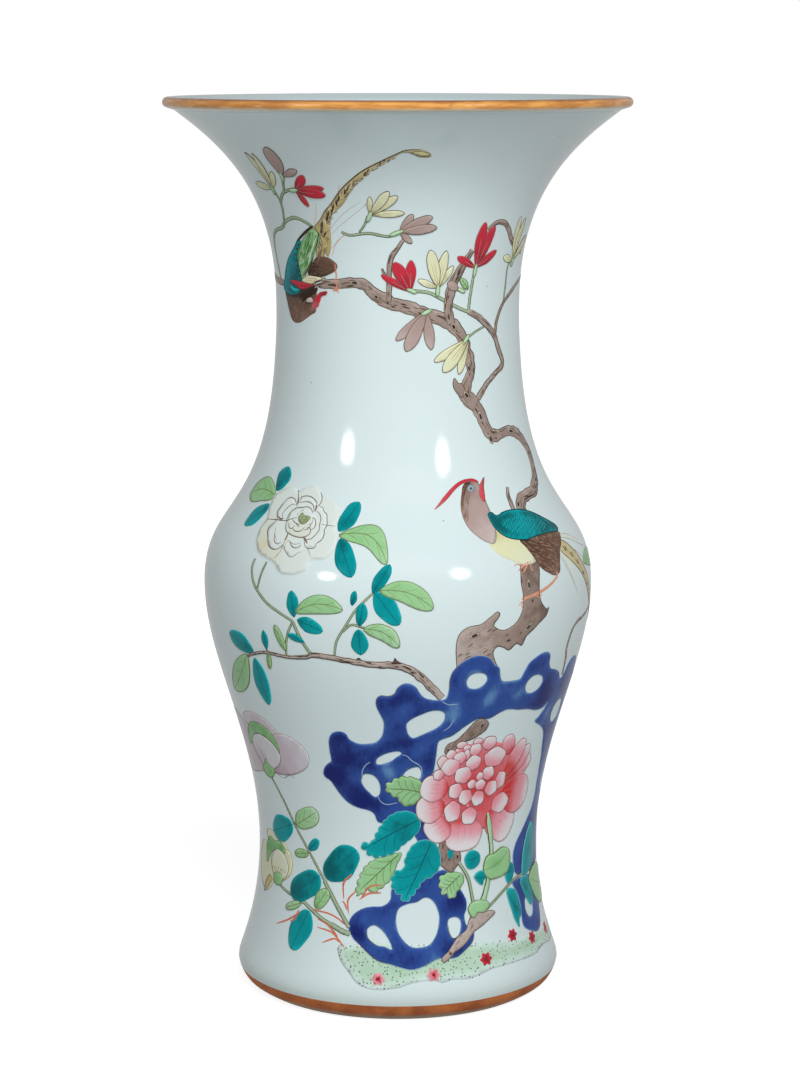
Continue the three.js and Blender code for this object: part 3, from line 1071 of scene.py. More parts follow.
def knot(motif, centre, wide, high, lean=0.0):
    """A dark knot in bark, with a pale ring round it."""
    turns = np.linspace(0, 2 * np.pi, 14, endpoint=False)
    turn = math.radians(lean)
    for size, enamel_name, weight in ((1.4, "bark", 0.05), (0.85, "sepia", 1.0)):
        x = wide * size * np.cos(turns)
        y = high * size * np.sin(turns)
        shape = np.stack([x * math.cos(turn) - y * math.sin(turn), x * math.sin(turn) + y * math.cos(turn)], axis=1)
        outline = place(centre, shape)
        on(motif, enamel_name).patch(outline, weight, spacing=0.8)
        if enamel_name == "bark":
            on(motif, "sepia").line(outline, 0.22, 0.6, closed=True)


def flat_outline(points):
    """An outline and its box in flat millimetres, for filling with marks."""
    outline = curve_through(points, closed=True, spacing=1.0)
    middle = outline.mean(axis=0)
    flat = (outline - middle) * [millimetres_per_degree(middle[1]), 1.0]
    return middle, flat


def feather_rows(motif, enamel_name, points, heading, step, wash=0.8, width=0.3):
    """Small round feather tips in staggered rows inside chart points, all facing one way."""
    middle, flat = flat_outline(points)
    turn = math.radians(heading)
    along = np.array([math.cos(turn), math.sin(turn)])
    across = np.array([-along[1], along[0]])
    reach = np.abs(flat).max() * 1.2
    bow = np.stack([np.linspace(-0.5, 0.5, 5), 0.42 * np.cos(np.linspace(-np.pi / 2, np.pi / 2, 5))], axis=1)
    rows = np.arange(-reach, reach, step * 0.8)
    for row, distance in enumerate(rows):
        for aside in np.arange(-reach, reach, step) + (row % 2) * step / 2:
            spot = along * distance + across * aside
            arc = spot + (bow[:, :1] * across + bow[:, 1:] * along) * step
            if within(arc, [flat]).all():
                on(motif, enamel_name).line(place(middle, arc), width, wash, (0.5, 0.5))


def hatching(motif, enamel_name, points, heading, length, count, width=0.3, wash=0.8, spread=10.0):
    """Short strokes scattered inside chart points, all lying nearly one way."""
    middle, flat = flat_outline(points)
    low = flat.min(axis=0)
    high = flat.max(axis=0)
    for _ in range(count):
        spot = np.array([BRUSH.uniform(low[0], high[0]), BRUSH.uniform(low[1], high[1])])
        turn = math.radians(heading + BRUSH.uniform(-spread, spread))
        reach = np.array([math.cos(turn), math.sin(turn)]) * length * BRUSH.uniform(0.6, 1.1)
        path = np.stack([spot, spot + reach * 0.5 + [0, 0.08 * length], spot + reach])
        if within(path, [flat]).all():
            on(motif, enamel_name).line(place(middle, path), width, wash, (0.6, 0.3))


def barbs(motif, enamel_name, shaft, half_widths, count, width, wash):
    """Short strokes that leave a long feather's shaft at both sides, slanting towards its tip."""
    spine = curve_through(shaft, spacing=1.0)
    far = len(spine) - 3
    for _ in range(count):
        i = BRUSH.randrange(far)
        half = np.interp(i / far, np.linspace(0, 1, len(half_widths)), half_widths)
        along = np.array(offset_between(spine[i], spine[i + 2]))
        along /= math.hypot(*along)
        across = np.array([-along[1], along[0]]) * BRUSH.choice((-1, 1)) * half
        near = across * BRUSH.uniform(0.0, 0.5)
        reach = along * BRUSH.uniform(1.2, 2.4) + across * BRUSH.uniform(0.3, 0.5)
        stroke(motif, enamel_name, place(spine[i], [near, near + reach * [0.5, 0.6], near + reach]), width, wash, (0.7, 0.3))


def dot(motif, enamel_name, centre, radius, wash=0.8, sides=7):
    """A dab of enamel."""
    turns = np.linspace(0, 2 * np.pi, sides, endpoint=False)
    shape = np.stack([radius * np.cos(turns), radius * np.sin(turns)], axis=1)
    on(motif, enamel_name).patch(place(centre, shape), wash, spacing=radius * 3)


# What is painted: the places of each motif, read off the photograph


def paint_rock():
    """The pierced scholar's rock: an arch round the pink peony, a lower stone and a ring at the right."""
    arch = [
        (-27.7, 121.5), (-26.7, 124.8), (-25, 127), (-23.8, 128.5), (-23.9, 133.8), (-23.6, 139.4), (-22.1, 142.9),
        (-19.4, 144.3), (-17.3, 143.3), (-16.1, 140.4), (-13.2, 138.5), (-10, 138.6), (-7.1, 139.8), (-5.2, 142.8),
        (-4.5, 146.9), (-4.5, 150.6), (-5.7, 154.8), (-6.6, 158.5), (-6.5, 161.9), (-5.2, 163.8), (-2.9, 163.6),
        (-1, 164.8), (0, 167.8), (1.7, 169.9), (3.8, 169.8), (5.6, 167.8), (6.7, 165), (8.3, 162.5), (10.8, 161.3),
        (13.3, 161), (15, 161.9), (15.6, 166.3), (15.6, 171.3), (16.5, 175.6), (18.8, 179.4), (22.1, 182),
        (25, 182.1), (27.7, 180.4), (29.6, 176.9), (31.4, 175), (32.1, 171.3), (33.2, 168.1), (35.8, 167.3),
        (38.8, 167.3), (40.4, 167.8), (41.5, 171.3), (42.9, 175), (45.4, 177.3), (48.3, 178.8), (50.8, 178.5),
        (52.3, 176.3), (52.7, 172.5), (54.2, 169.4), (57.5, 167.8), (60.4, 165.6), (62.1, 162.5), (63.8, 161.9),
        (65.4, 164.4), (66.5, 168.1), (69.2, 170.4), (72.5, 170.4), (76, 167), (79, 161), (83, 158), (88, 159),
        (92, 155), (93, 149), (90, 143), (86, 138), (85, 130), (87, 122), (91, 115), (92, 107), (89, 99), (84, 95),
        (82, 88), (84, 80), (86, 72), (83, 65), (77, 63), (70, 61), (65, 63), (63.8, 66.3), (62.5, 61.9),
        (59.2, 61.9), (55.8, 63.8), (54.6, 67.5), (54.2, 73.8), (56.3, 79.4), (60, 83.8), (64.2, 88.8),
        (68.3, 93.8), (70.2, 100), (69.6, 108.8), (67.9, 118.8), (65, 127.5), (62.1, 135), (58.3, 138.8),
        (54.6, 141.3), (53.3, 143.1), (55.4, 145), (58.3, 150.6), (55.8, 148.8), (51.7, 148.8), (47.1, 150.5),
        (42.5, 151.3), (38.3, 152.5), (35, 151.6), (30.8, 149.1), (26.3, 149.4), (22.5, 146.5), (18.3, 142.1),
        (15, 140.6), (13.6, 138.8), (13.3, 132.5), (12.9, 125), (11.7, 120), (10.4, 108.8), (11.3, 98.8),
        (13, 90), (15, 84), (16, 79), (13, 76), (10, 79), (8.5, 86), (6, 92), (1, 96), (-4, 97.5), (-7.5, 98.1),
        (-8.8, 101.9), (-10.8, 103.8), (-15.8, 105.3), (-19.6, 108.1), (-22.5, 112.5), (-25, 117.5), (-27.1, 119.4),
    ]
    arch_holes = [
        [(20.9, 169.6), (21.9, 172.6), (24.3, 173.7), (26.9, 172.4), (27.7, 169.6), (26.5, 166.8), (24.2, 165.5),
         (21.8, 166.5)],
        [(43.3, 163), (44.5, 166.6), (47.3, 168), (50.2, 166.6), (51.3, 163.6), (50, 160.4), (47.2, 158.8),
         (44.5, 159.7)],
        [(64.6, 143.5), (66, 147.8), (69.4, 149.5), (72.8, 147.6), (74.2, 143.4), (72.7, 139.3), (69.4, 137.5),
         (66.2, 139.2)],
        [(2.9, 149.4), (4.6, 151.9), (7.1, 153.8), (10.4, 155.6), (13.3, 155.6), (15, 153.8), (14.8, 150),
         (12.9, 146.9), (10.4, 145), (7.5, 143.1), (5, 141.9), (3.5, 143.8), (2.9, 146.9)],
        [(-7.5, 128.8), (-7.1, 131), (-5, 133.1), (-2.1, 134.6), (0.4, 135), (1.3, 133.8), (-0.4, 131.9),
         (-2.1, 130), (-4.6, 128.5), (-6.7, 127.9)],
        [(-13.2, 118.8), (-12.3, 122.3), (-10.4, 122.9), (-8.3, 121.9), (-6.8, 119), (-6.3, 115.6), (-6.7, 112.5),
         (-8.3, 111), (-10.4, 113.1), (-12.1, 115.6)],
        [(1.7, 120.6), (2.5, 123.8), (4.6, 126), (7.1, 126.6), (8.3, 124.4), (8.3, 121.3), (6.7, 119.4),
         (4.2, 119)],
        [(77, 104), (79, 110), (83, 111), (85, 106), (83, 100), (79, 99)],
    ]
    stone = [
        (-19.3, 45), (-18.3, 50), (-15, 53.8), (-10.8, 55.6), (-5.8, 56.3), (-2.9, 59.4), (-2.1, 65), (3, 68),
        (10, 68.8), (14, 71.3), (18.3, 73.1), (22, 70), (24.5, 65), (27.1, 59.4), (28.1, 56.3), (27.9, 52.5),
        (26.8, 49.4), (27.4, 45), (30.3, 41.5), (29.6, 36.9), (25.8, 33.1), (22.5, 30.6), (19.2, 30.3), (15, 30.6),
        (9.2, 27.5), (5, 26.3), (0.8, 27.5), (-2.5, 28.8), (-6.7, 30), (-10, 32.5), (-12.9, 35.6), (-14.6, 37.5),
        (-17.1, 40),
    ]
    stone_holes = [
        [(-0.7, 50), (0.4, 55), (3.8, 57.3), (7.5, 58.1), (10.4, 60), (12.9, 59.4), (15, 56.3), (16.3, 51.3),
         (16, 46.3), (14.6, 41.3), (12.1, 37.5), (8.3, 36.3), (5, 36.9), (2.1, 40), (0, 44.4)],
        [(-11.7, 45), (-9.2, 46.9), (-6.3, 45), (-4.2, 41.9), (-2.5, 38.1), (-2.3, 35.6), (-5, 36.9), (-7.9, 37.5),
         (-10.4, 39.4), (-11.7, 41.9)],
        [(19.6, 46.3), (20.4, 49), (23.3, 49.4), (25, 47.5), (25, 43.8), (23.8, 40.6), (21.7, 39.4), (20.2, 41.9)],
    ]
    ring = [
        (53.3, 60), (56, 54), (57.5, 48), (57.1, 40), (58, 36.3), (62.5, 33.1), (68.3, 31.3), (72.5, 33.8),
        (75.4, 40), (76.3, 46.3), (73.3, 53.8), (70.8, 57.5), (66.7, 60), (60.8, 60.6),
    ]
    ring_hole = [(60.8, 45), (61.5, 49), (64.5, 51), (67.5, 49), (68, 45), (66.7, 40.6), (63.8, 39.6), (61.6, 41.6)]

    pale_spots = (
        (24, 172), (30, 161), (28, 158), (47, 164), (41, 160), (-3, 124), (-1, 116), (17, 158), (18, 152), (2, 156), (8, 136),
        (-9, 141), (-4, 126), (18, 64), (-13, 50), (2, 62), (14, 32), (60, 145),
    )
    deep_spots = ((-22, 138), (-24, 121), (-14, 108), (2, 166), (14, 172), (55, 155), (12, 130), (-16, 43), (24, 60), (22, 35), (-19, 132))

    def weight(points):
        heavy = 0.66 + 0.1 * np.clip((6 - points[:, 0]) / 30, 0, 1)
        for spot in pale_spots:
            heavy = heavy - 0.42 * glow(spot, 7.5)(points) ** 1.5
        for spot in deep_spots:
            heavy = heavy + 0.3 * glow(spot, 11)(points)
        return heavy

    for outline, holes in ((arch, arch_holes), (stone, stone_holes), (ring, [ring_hole])):
        area("rock", "cobalt", outline, weight, holes, edge=("cobalt_line", 0.3, 0.15), fine=0.9)
    strokes("rock", "sepia", 0.34, 0.5, arch[17:24], arch[31:35], arch[-59:-52], stone[16:22], stone[27:33])
    lobes = (
        [(-12.9, 120), (-12.6, 124), (-11.5, 127), (-9.6, 129.3)],
        [(-7.3, 111.5), (-6.3, 108.8), (-4, 107.3), (0, 108.3)],
        [(1.3, 133.4), (3.2, 132.5), (5, 130), (8, 127), (8.8, 123)],
        [(15, 145), (17, 147), (18.3, 151)],
        [(13.6, 160.4), (16, 158.5), (19, 158.5)],
        [(58.6, 151), (57.4, 147.6), (55.5, 145.2)],
    )
    strokes("rock", "cobalt_line", 0.5, 0.0, *lobes)
    strokes("rock", "sepia", 0.6, 0.9, [(19.6, 46.3), (20.1, 42), (21.7, 39.2), (23.9, 40.4)],
            [(-11.9, 45), (-11.8, 41.6), (-10.3, 39.2), (-8, 37.4)])


def paint_ground():
    """The mossy bank: a pale green wash, dotted, with small fallen flowers."""
    bank = [
        (-22, 30), (-18, 24), (-14, 19), (-8, 17), (0, 18), (5, 20), (12, 21), (16, 19.5), (20, 20.5), (26, 20),
        (33, 21.5), (38, 22.5), (50, 22.5), (60, 22), (70, 23.5), (80, 22), (92, 23), (100, 26), (97, 31),
        (90, 30), (75, 31), (60, 32.5), (50, 32.5), (45, 34.5), (36, 35.5), (31, 36), (25, 38), (10, 38), (-5, 39),
        (-15, 38), (-20, 37), (-23, 35.5),
    ]
    outline = area("ground", "moss", bank, soft(bank, 4.0, 0.8), fine=1.2)
    for azimuth in np.arange(-23, 98, 1.5):
        for height in np.arange(18.2, 38.5, 1.6):
            spot = (azimuth + BRUSH.uniform(-0.6, 0.6), height + BRUSH.uniform(-0.6, 0.6))
            if BRUSH.random() < (0.6 if azimuth < 27 else 0.4) and within(np.array([spot]), [outline])[0]:
                dot("ground", "olive_line", spot, BRUSH.uniform(0.26, 0.42), BRUSH.uniform(0.3, 0.9), 6)
    for centre, weight, enamel_name in (
        ((-7, 22), 0.7, "rose"), ((13, 23.5), 0.75, "rose"), ((34.5, 27.5), 0.8, "iron_red"),
        ((49.5, 35), 0.8, "iron_red"), ((62, 30), 0.8, "iron_red"), ((78, 29), 0.7, "iron_red"),
    ):
        turns = np.linspace(0, 2 * np.pi, 30, endpoint=False) + 0.3
        reach = 3.1 + 0.6 * np.cos(6 * turns)
        shape = np.stack([reach * np.cos(turns), reach * 0.9 * np.sin(turns)], axis=1)
        on("ground", enamel_name).patch(place(centre, shape), glow(centre, 3.6, weight + 0.3, weight - 0.5), spacing=0.7)
        hatching("ground", "iron_red", place(centre, shape * 0.9), 40, 1.2, 30, 0.3, 1.0, 90)
        dot("ground", "iron_red", centre, 0.8, 1.0)


def paint_peony_bark():
    """The old wood of the pink peony: above it, below it and at its root."""
    for points, weight, heading, length, count in (
        ([(16.2, 134), (17, 137.5), (20, 139.5), (22.5, 143), (26, 148.5), (28.5, 149.5), (31, 147), (30.5, 143.5),
          (28, 141), (26, 139.5), (22, 137.5), (19, 133), (17.5, 131.5)], 0.6, 55, 3.5, 46),
        ([(16, 80), (16.6, 86), (18, 89.5), (21, 89), (21.6, 85), (22.5, 82), (25.2, 81.5), (25.8, 77), (24, 74),
          (22, 71.5), (20, 72.6), (17.4, 75.5)], 0.6, 80, 3, 46),
        ([(33, 52), (35, 50), (40, 49.5), (41.5, 48), (38, 45.5), (34, 43), (30.5, 41), (28, 38), (25.5, 35.5),
          (22, 33), (19, 30), (17, 28.5), (16.6, 31), (19, 33.5), (21, 36.5), (23.5, 40), (27, 42.5), (28.5, 46),
          (30, 49.5), (31, 51.5)], 0.15, 215, 3, 60),
    ):
        area("peony_bark", "bark", points, weight, edge=("sepia", 0.3, 0.75))
        hatching("peony_bark", "sepia", points, heading, length, count, 0.32, 0.8)
    area("peony_bark", "turquoise", [(20, 81), (21.4, 84.5), (22.6, 81), (21.4, 78)], 0.7, fine=0.6)
    for centre, wide, high, lean in (
        ((28.6, 146), 0.7, 1.5, -15), ((17.4, 134.6), 0.5, 1.1, -20), ((24.3, 79), 0.5, 1.3, 0), ((20, 32.5), 0.5, 1, 30),
    ):
        knot("peony_bark", centre, wide, high, lean)


def paint_pink_peony():
    """The great pink peony: its broad toothed leaves, its petals, and its stems over them."""
    for enamel_name, base, tip, outline in (
        ("green", (0.5, 82), (-15, 63.5), [
            (-16.5, 61.5), (-15.8, 68), (-13, 75), (-9, 79), (-4, 81), (1.5, 82.5), (-0.5, 76), (-2.5, 70),
            (-6, 65.5), (-10, 62.5), (-12, 64.6), (-14, 61.5)]),
        ("turquoise", (7.5, 99), (-13, 84.5), [
            (-14.5, 86.5), (-10, 88), (-8, 93), (-5, 99), (-1, 103), (4, 103.8), (8, 100.5), (8.6, 95), (5.5, 90),
            (2, 86.5), (-1, 83), (-5, 81), (-10, 80.5), (-13, 83.5)]),
        ("turquoise", (13, 87), (3, 60), [
            (-2.5, 68), (-1, 73), (2.5, 75), (3, 80), (6, 86.5), (10.5, 89), (15, 86.5), (17, 80), (16.5, 74),
            (13, 70), (10.5, 69), (8, 65), (5, 60.5), (2.5, 58.5), (1, 62), (-1, 63.5)]),
        ("green", (25.5, 69.5), (18, 62), [
            (16.5, 68), (18, 70.5), (22, 71.5), (26.5, 70), (27, 66), (24.5, 62), (22, 58.5), (20, 60.5),
            (18, 61.5), (17, 65)]),
        ("green", (9.5, 113), (-4, 115.5), [
            (-4.5, 116.5), (-2, 119.5), (1, 121.5), (6, 121), (9.8, 117), (9.3, 112), (6, 107.3), (2, 107),
            (0, 110.7), (-2.5, 112.5)]),
    ):
        wide_leaf("peony", enamel_name, outline, base, tip)
    heart = (32.5, 112.5)
    underlay = [
        (14, 118), (15.4, 127), (20, 133), (26, 137), (36, 136), (43, 131), (50, 124), (54, 112), (51, 102), (44, 95),
        (35, 91), (27, 90), (20, 94), (15, 102), (14, 110),
    ]
    area("peony", "rose", underlay, glow(heart, 34, 0.95, 0.6), fine=1.1)
    for base, tip, width, power in (
        ((27, 99), (27, 81.5), 20, 1.5), ((37, 99), (51.5, 87.5), 19, 1.4), ((20, 98), (11.5, 90.5), 15, 1.8),
        ((18, 106), (7, 103.5), 14.5, 1.6), ((19, 114), (8.2, 116), 13.5, 1.6), ((43, 128), (41, 138.5), 8.5, 0.9),
        ((44, 112), (57.4, 124), 10, 1.0), ((43, 114), (55, 130), 9, 1.0), ((43, 116), (50.6, 134.4), 9, 1.0),
        ((42, 107), (60.5, 104.5), 19, 1.0),
    ):
        deep = 1.35 if tip[0] > 50 and tip[1] > 90 else 1.05
        petal("peony", "rose", base, tip, width, "rose_line", (deep, 0.0, power), 3, (0.26, 0.6))
    inner = (
        (22.4, 136.6, 2.1, 1.9), (24.4, 134.8, 1.5, 1.7), (28.3, 137.6, 1.9, 1.8), (18.8, 132, 1.8, 2.6),
        (16, 128.4, 1.9, 3.3), (24.6, 131, 1.5, 2.8), (22.2, 129.8, 2.4, 3.3), (27.8, 133.2, 2.3, 3.4),
        (33, 135.8, 2.8, 3.6), (19.3, 125.4, 3.5, 4.4), (27.8, 126.4, 3, 4), (36.4, 127.8, 4.7, 5.2),
        (14.8, 122, 2, 2.8), (24.4, 120.6, 3.4, 4.4), (34.6, 119.8, 2.7, 3.6), (41, 115.2, 2.6, 4.5),
        (31.2, 118.8, 1.5, 2.4), (28.4, 115.4, 1.9, 2.4), (32, 114.4, 2.3, 2.8), (22, 113, 2.8, 4),
        (26.3, 109.4, 2.8, 4), (36.9, 112, 2.9, 3.9), (31.6, 108.2, 2.8, 4), (21.4, 102.8, 3.4, 5.4),
        (28.6, 99.6, 3.4, 4.5), (42.6, 103.4, 4.4, 5.1),
    )
    rosette("peony", heart, inner, "rose_line", (0.8, 0.05, 1.7), edge=(0.28, 0.8))
    dot("peony", "rose", (27.5, 104.4), 0.8, 0.5)
    stems(
        "peony",
        (1.6, (25, 76), (29, 68), (30.5, 60), (31.5, 52)),
        (1.2, (37, 50.5), (45, 56), (53, 60.5), (62, 62.5)),
    )
    limb("peony", [(37.2, 99, 1.2), (38.2, 94, 2.8), (40.5, 80, 2), (39.5, 68, 2.2), (37, 58, 2.6), (34, 51, 3.4)],
         "green", 0.08, 0.25)
    crown = [(28.6, 52), (29.5, 49.4), (31, 47.8), (33, 50), (36, 49.5), (38.5, 52), (38, 54.5), (33, 56), (30, 55)]
    area("peony", "green", crown, 0.4, edge=("olive_line", 0.22, 0.4))
    small = (
        ("turquoise", [(27.5, 77), (29, 80.5), (32, 81), (34.5, 78.5), (34.5, 74.5), (32, 72), (29, 72.5)]),
        ("turquoise", [(32, 67.5), (34, 70), (37.5, 69.5), (38.5, 67), (36.5, 65.2), (36, 63), (34.5, 63.8)]),
        ("turquoise", [(48.5, 66), (50.5, 70.5), (53.5, 69.5), (54.5, 66), (53, 62), (50, 60.5)]),
        ("turquoise", [(49, 56.5), (52, 57.5), (55, 55), (56.5, 50), (57.2, 44), (55, 41), (54.5, 37.5), (52.5, 41),
                       (51, 47)]),
        ("turquoise", [(59, 59), (62, 60.5), (66, 59), (68.5, 53), (68.5, 47), (66, 45), (62.5, 50), (60, 55)]),
        ("turquoise", [(61, 62), (62, 72), (65, 81), (69, 86), (73, 82), (74.5, 72), (71, 65), (65, 61)]),
        ("green", [(36.5, 70), (38, 76.5), (42, 77.5), (46.5, 79.5), (50.5, 77.5), (51.5, 71), (49, 66), (43, 64.8),
                   (39, 65.5)]),
        ("green", [(67, 58), (72, 62), (80, 62), (88, 56), (92, 48), (86, 43), (78, 42), (72, 47), (69, 53)]),
    )
    for enamel_name, outline in small:
        centre = np.mean(outline, axis=0)
        edge = ("turquoise_line", 0.24, 0.0) if enamel_name == "turquoise" else ("olive_line", 0.22, 0.4)
        area("peony", enamel_name, outline, glow(centre, 9, 0.7, 0.45), edge=edge)
        stroke("peony", edge[0], [outline[0], centre, outline[len(outline) // 2]], 0.28, 0.6)


def paint_white_peony():
    """The cream peony at the left: one soft round of outer petals and the scalloped cups within it."""
    stems(
        "white_peony",
        (1.3, (-47.2, 224.5), (-47.5, 220), (-46, 214), (-43.5, 209.5), (-39.5, 204.5), (-31, 198)),
        (1.0, (-42, 224), (-43.2, 218), (-44, 211)),
        (1.1, (-31, 198), (-33.3, 190), (-34.3, 181)),
        (1.4, (-31, 198), (-29, 191), (-26.5, 184.5), (-25, 182.5)),
        (1.1, (-18.5, 182), (-17.5, 190), (-15, 197), (-11.5, 206), (-7, 213.5)),
        (1.0, (-15.5, 195), (-13, 198.5), (-10, 197.5), (-8, 196.5)),
        (0.9, (-47.5, 178.5), (-50, 182), (-53, 181)),
        (0.9, (-41.5, 181), (-41.5, 185)),
        (0.9, (-18.5, 238.5), (-14, 238.8)),
    )
    limb("white_peony", [
        (-53, 175, 1.0), (-47.5, 178.5, 1.1), (-42, 180.5, 1.2), (-34, 180, 1.3), (-28, 181, 1.7), (-24, 182.5, 2.3),
        (-15, 181, 2.4), (-8, 179.5, 2.7), (0, 179, 3.3), (5, 175.5, 3.6), (9, 169.5, 3.6), (13.5, 162, 3.4)], weight=0.2)
    knot("white_peony", (4.3, 175.7), 0.9, 0.5, -35)
    area("white_peony", "sepia", [(-1.8, 179.9), (-1.2, 181.4), (-0.8, 183), (-0.1, 181.6), (1.2, 180.1)], 0.8, fine=0.6)
    stroke("white_peony", "sepia", [(-12, 181.2), (-11.2, 182.4), (-10.4, 181)], 0.6)
    leaves(
        "white_peony",
        turquoise=(
            ((-51.5, 254.5), (-48.5, 266), 9.5), ((-51.5, 248), (-61, 237.5), 8), ((-19.5, 240), (-14, 253), 8.4),
            ((-18.5, 237), (-13, 220.5), 9.5), ((-7, 213.5), (-2.3, 226.5), 6.5), ((-6.5, 214), (0.5, 199), 10),
            ((-12.8, 207.5), (-12, 214.5), 3.4), ((-10.7, 198), (-9.6, 209), 5.6), ((-11, 196.5), (-10.5, 184), 8),
            ((-30.5, 200), (-31.5, 212.5), 6.5), ((-29.5, 199), (-21.5, 194.5), 7.4), ((-27.5, 188.5), (-33, 191.5), 3.6),
            ((-47.5, 180), (-59, 186), 9.5), ((-47.5, 176.5), (-46, 153), 10), ((-41.5, 182), (-42, 191.5), 4.2),
        ),
        green=(
            ((-51, 252.5), (-69, 250.5), 11.5, -0.1), ((-19, 238.5), (-2.5, 227), 9.5, 0.22),
            ((-5, 215), (10, 206.5), 10.5, 0.12), ((-30, 202.5), (-15.5, 205.5), 9, 0.14),
            ((-9.5, 197), (0.5, 188.5), 8, 0.14), ((-34.2, 183), (-37.5, 195), 4.2),
            ((-51, 177), (-65.5, 155.5), 12, 0.05), ((-41, 180.5), (-41.5, 172.5), 3),
        ),
    )
    petals = [
        (-51, 252.5), (-48.5, 255), (-45.5, 257), (-42, 257), (-39.6, 254.8), (-38, 257), (-34, 258.6), (-30.4, 257.4),
        (-28.6, 254), (-26, 253.8), (-22.4, 251.8), (-20.4, 248), (-20.8, 242.2), (-19.4, 238), (-19.6, 232),
        (-22, 228), (-26.6, 226.8), (-27.6, 222.4), (-31.4, 220), (-36, 220), (-39.2, 224), (-43, 225.6),
        (-47, 228), (-49.8, 232.6), (-50.6, 238), (-49.8, 242.4), (-51.4, 247.4),
    ]
    warm = glow((-45, 231), 16, 0.8, 0.1)
    area("white_peony", "cream", petals, warm, edge=("cream", 0.3, 0.0), fine=1.0)
    cups = [
        (-46.2, 246.2), (-44.2, 251.6), (-41.4, 252.7), (-38.6, 250.4), (-36.8, 253.8), (-33, 253.9), (-30, 251),
        (-27.6, 249.8), (-25, 246.8), (-24, 242.2), (-24.3, 237), (-26, 232.6), (-29.2, 232.2), (-30.4, 229.8),
        (-33.8, 227.4), (-36.8, 230.2), (-38.4, 231.2), (-41.4, 229.7), (-44.6, 233), (-46.6, 238), (-45, 242.4),
    ]
    area("white_peony", "cream", cups, 0.0, fine=0.9)
    area("white_peony", "cream", [(-40.2, 243), (-39.4, 247.4), (-35.4, 249.2), (-31, 248), (-28.4, 243), (-29.2, 238),
         (-33, 236), (-37.6, 237.2), (-39.6, 239.6)], fade((-34, 245), (-34, 229)), fine=0.9)
    strokes(
        "white_peony", "sepia", 0.42, 0.7,
        [(-49.6, 241.8), (-45, 242.2), (-41, 242.3), (-38.4, 243.4), (-36.2, 244.4)],
        [(-39.8, 256.2), (-39.1, 254), (-38.3, 251.8), (-37.9, 249.2)],
        [(-29.7, 256.4), (-28.4, 253.4), (-28.8, 250.8), (-29.8, 249.4)],
        [(-44, 251.4), (-42.4, 252.5), (-40.4, 252.2), (-39, 250.6), (-38.2, 249)],
        [(-45.2, 249.4), (-45.3, 247.6), (-46.1, 246), (-45.4, 244), (-43.8, 243), (-42.8, 242.7)],
        [(-42.5, 243.2), (-43.2, 245.4), (-42.2, 247.8), (-40.4, 249.7), (-39, 249.8)],
        [(-40.5, 242.8), (-40.2, 245.4), (-39, 247.6), (-37.4, 248.6), (-35.4, 248.9), (-33.4, 249.4), (-31.6, 248.5),
         (-30.4, 246.6)],
        [(-38.2, 252.6), (-36.8, 253.7), (-35, 254.1), (-33, 253.8), (-31, 252.5), (-29.9, 251), (-29.8, 249)],
        [(-37.7, 250.7), (-36, 251.3), (-34, 251.6), (-32, 250.9), (-30.8, 249.4), (-30.4, 247.4)],
        [(-28.6, 250), (-27.2, 249.6), (-26.4, 248), (-25.1, 246.9), (-24.4, 244.4), (-24, 242.3), (-24.4, 240.2),
         (-24.1, 238), (-24.6, 235.7), (-25.8, 234.3), (-26.2, 232.4), (-28, 231.8), (-29.5, 232.6), (-30.4, 234.8),
         (-31, 236.2)],
        [(-29.4, 248), (-27.8, 246.8), (-26.8, 244.7), (-26.7, 242.4), (-26.3, 240), (-27, 238), (-28.2, 236),
         (-30, 235.6), (-31, 236.4)],
        [(-30.2, 245.2), (-28.9, 244.2), (-28.2, 242.4), (-28.3, 240.8), (-29.2, 239.6)],
        [(-39.6, 239.6), (-38.4, 237.9), (-36.8, 237), (-34.4, 236.3), (-31.6, 236.1), (-29.8, 237.2), (-29.2, 239.1),
         (-30, 240.5), (-31.2, 240.6)],
        [(-45.2, 241.2), (-46.6, 238.8), (-46.4, 236.6), (-45.3, 235.2), (-44.5, 233), (-43.2, 230.9), (-41.4, 229.8),
         (-39.6, 229.9), (-38.2, 231.2), (-37.5, 233.2), (-37.7, 236)],
        [(-37.6, 243), (-36, 241.9), (-34.6, 241.3), (-34, 240.2)],
        [(-36.6, 239.6), (-35.2, 238.6), (-33.8, 238.5), (-32.6, 239.2), (-32, 240.8)],
        [(-38.8, 241.8), (-38, 239.8), (-36.8, 239.4), (-36, 240.8)],
        [(-31.8, 239.4), (-30.8, 239.8), (-30, 241.2), (-29.9, 243)],
        [(-42.8, 236.2), (-41.8, 233.4), (-40, 232.2), (-38.8, 233.2)],
        [(-35.6, 233.8), (-34, 231.8), (-32.2, 231.6), (-31, 233)],
        taper=(0.3, 0.3),
    )
    strokes(
        "white_peony", "sepia", 0.8, 0.55,
        [(-44.4, 243.6), (-43.2, 242.8), (-41.8, 243.2)], [(-38.8, 253), (-38.4, 251.6), (-38.2, 250)],
        [(-30.2, 250.6), (-29.8, 249), (-30, 247.6)], [(-37.6, 237.4), (-37.4, 235.6), (-37.8, 234)],
        [(-31.2, 236.6), (-30.2, 235.4), (-29, 233.8)],
    )
    strokes("white_peony", "ochre", 0.9, 0.1, [(-39, 229), (-38.6, 227), (-39.6, 225.8)], [(-37.2, 234.6), (-36.4, 233.4)],
            [(-38, 254.6), (-37.4, 253.4)])
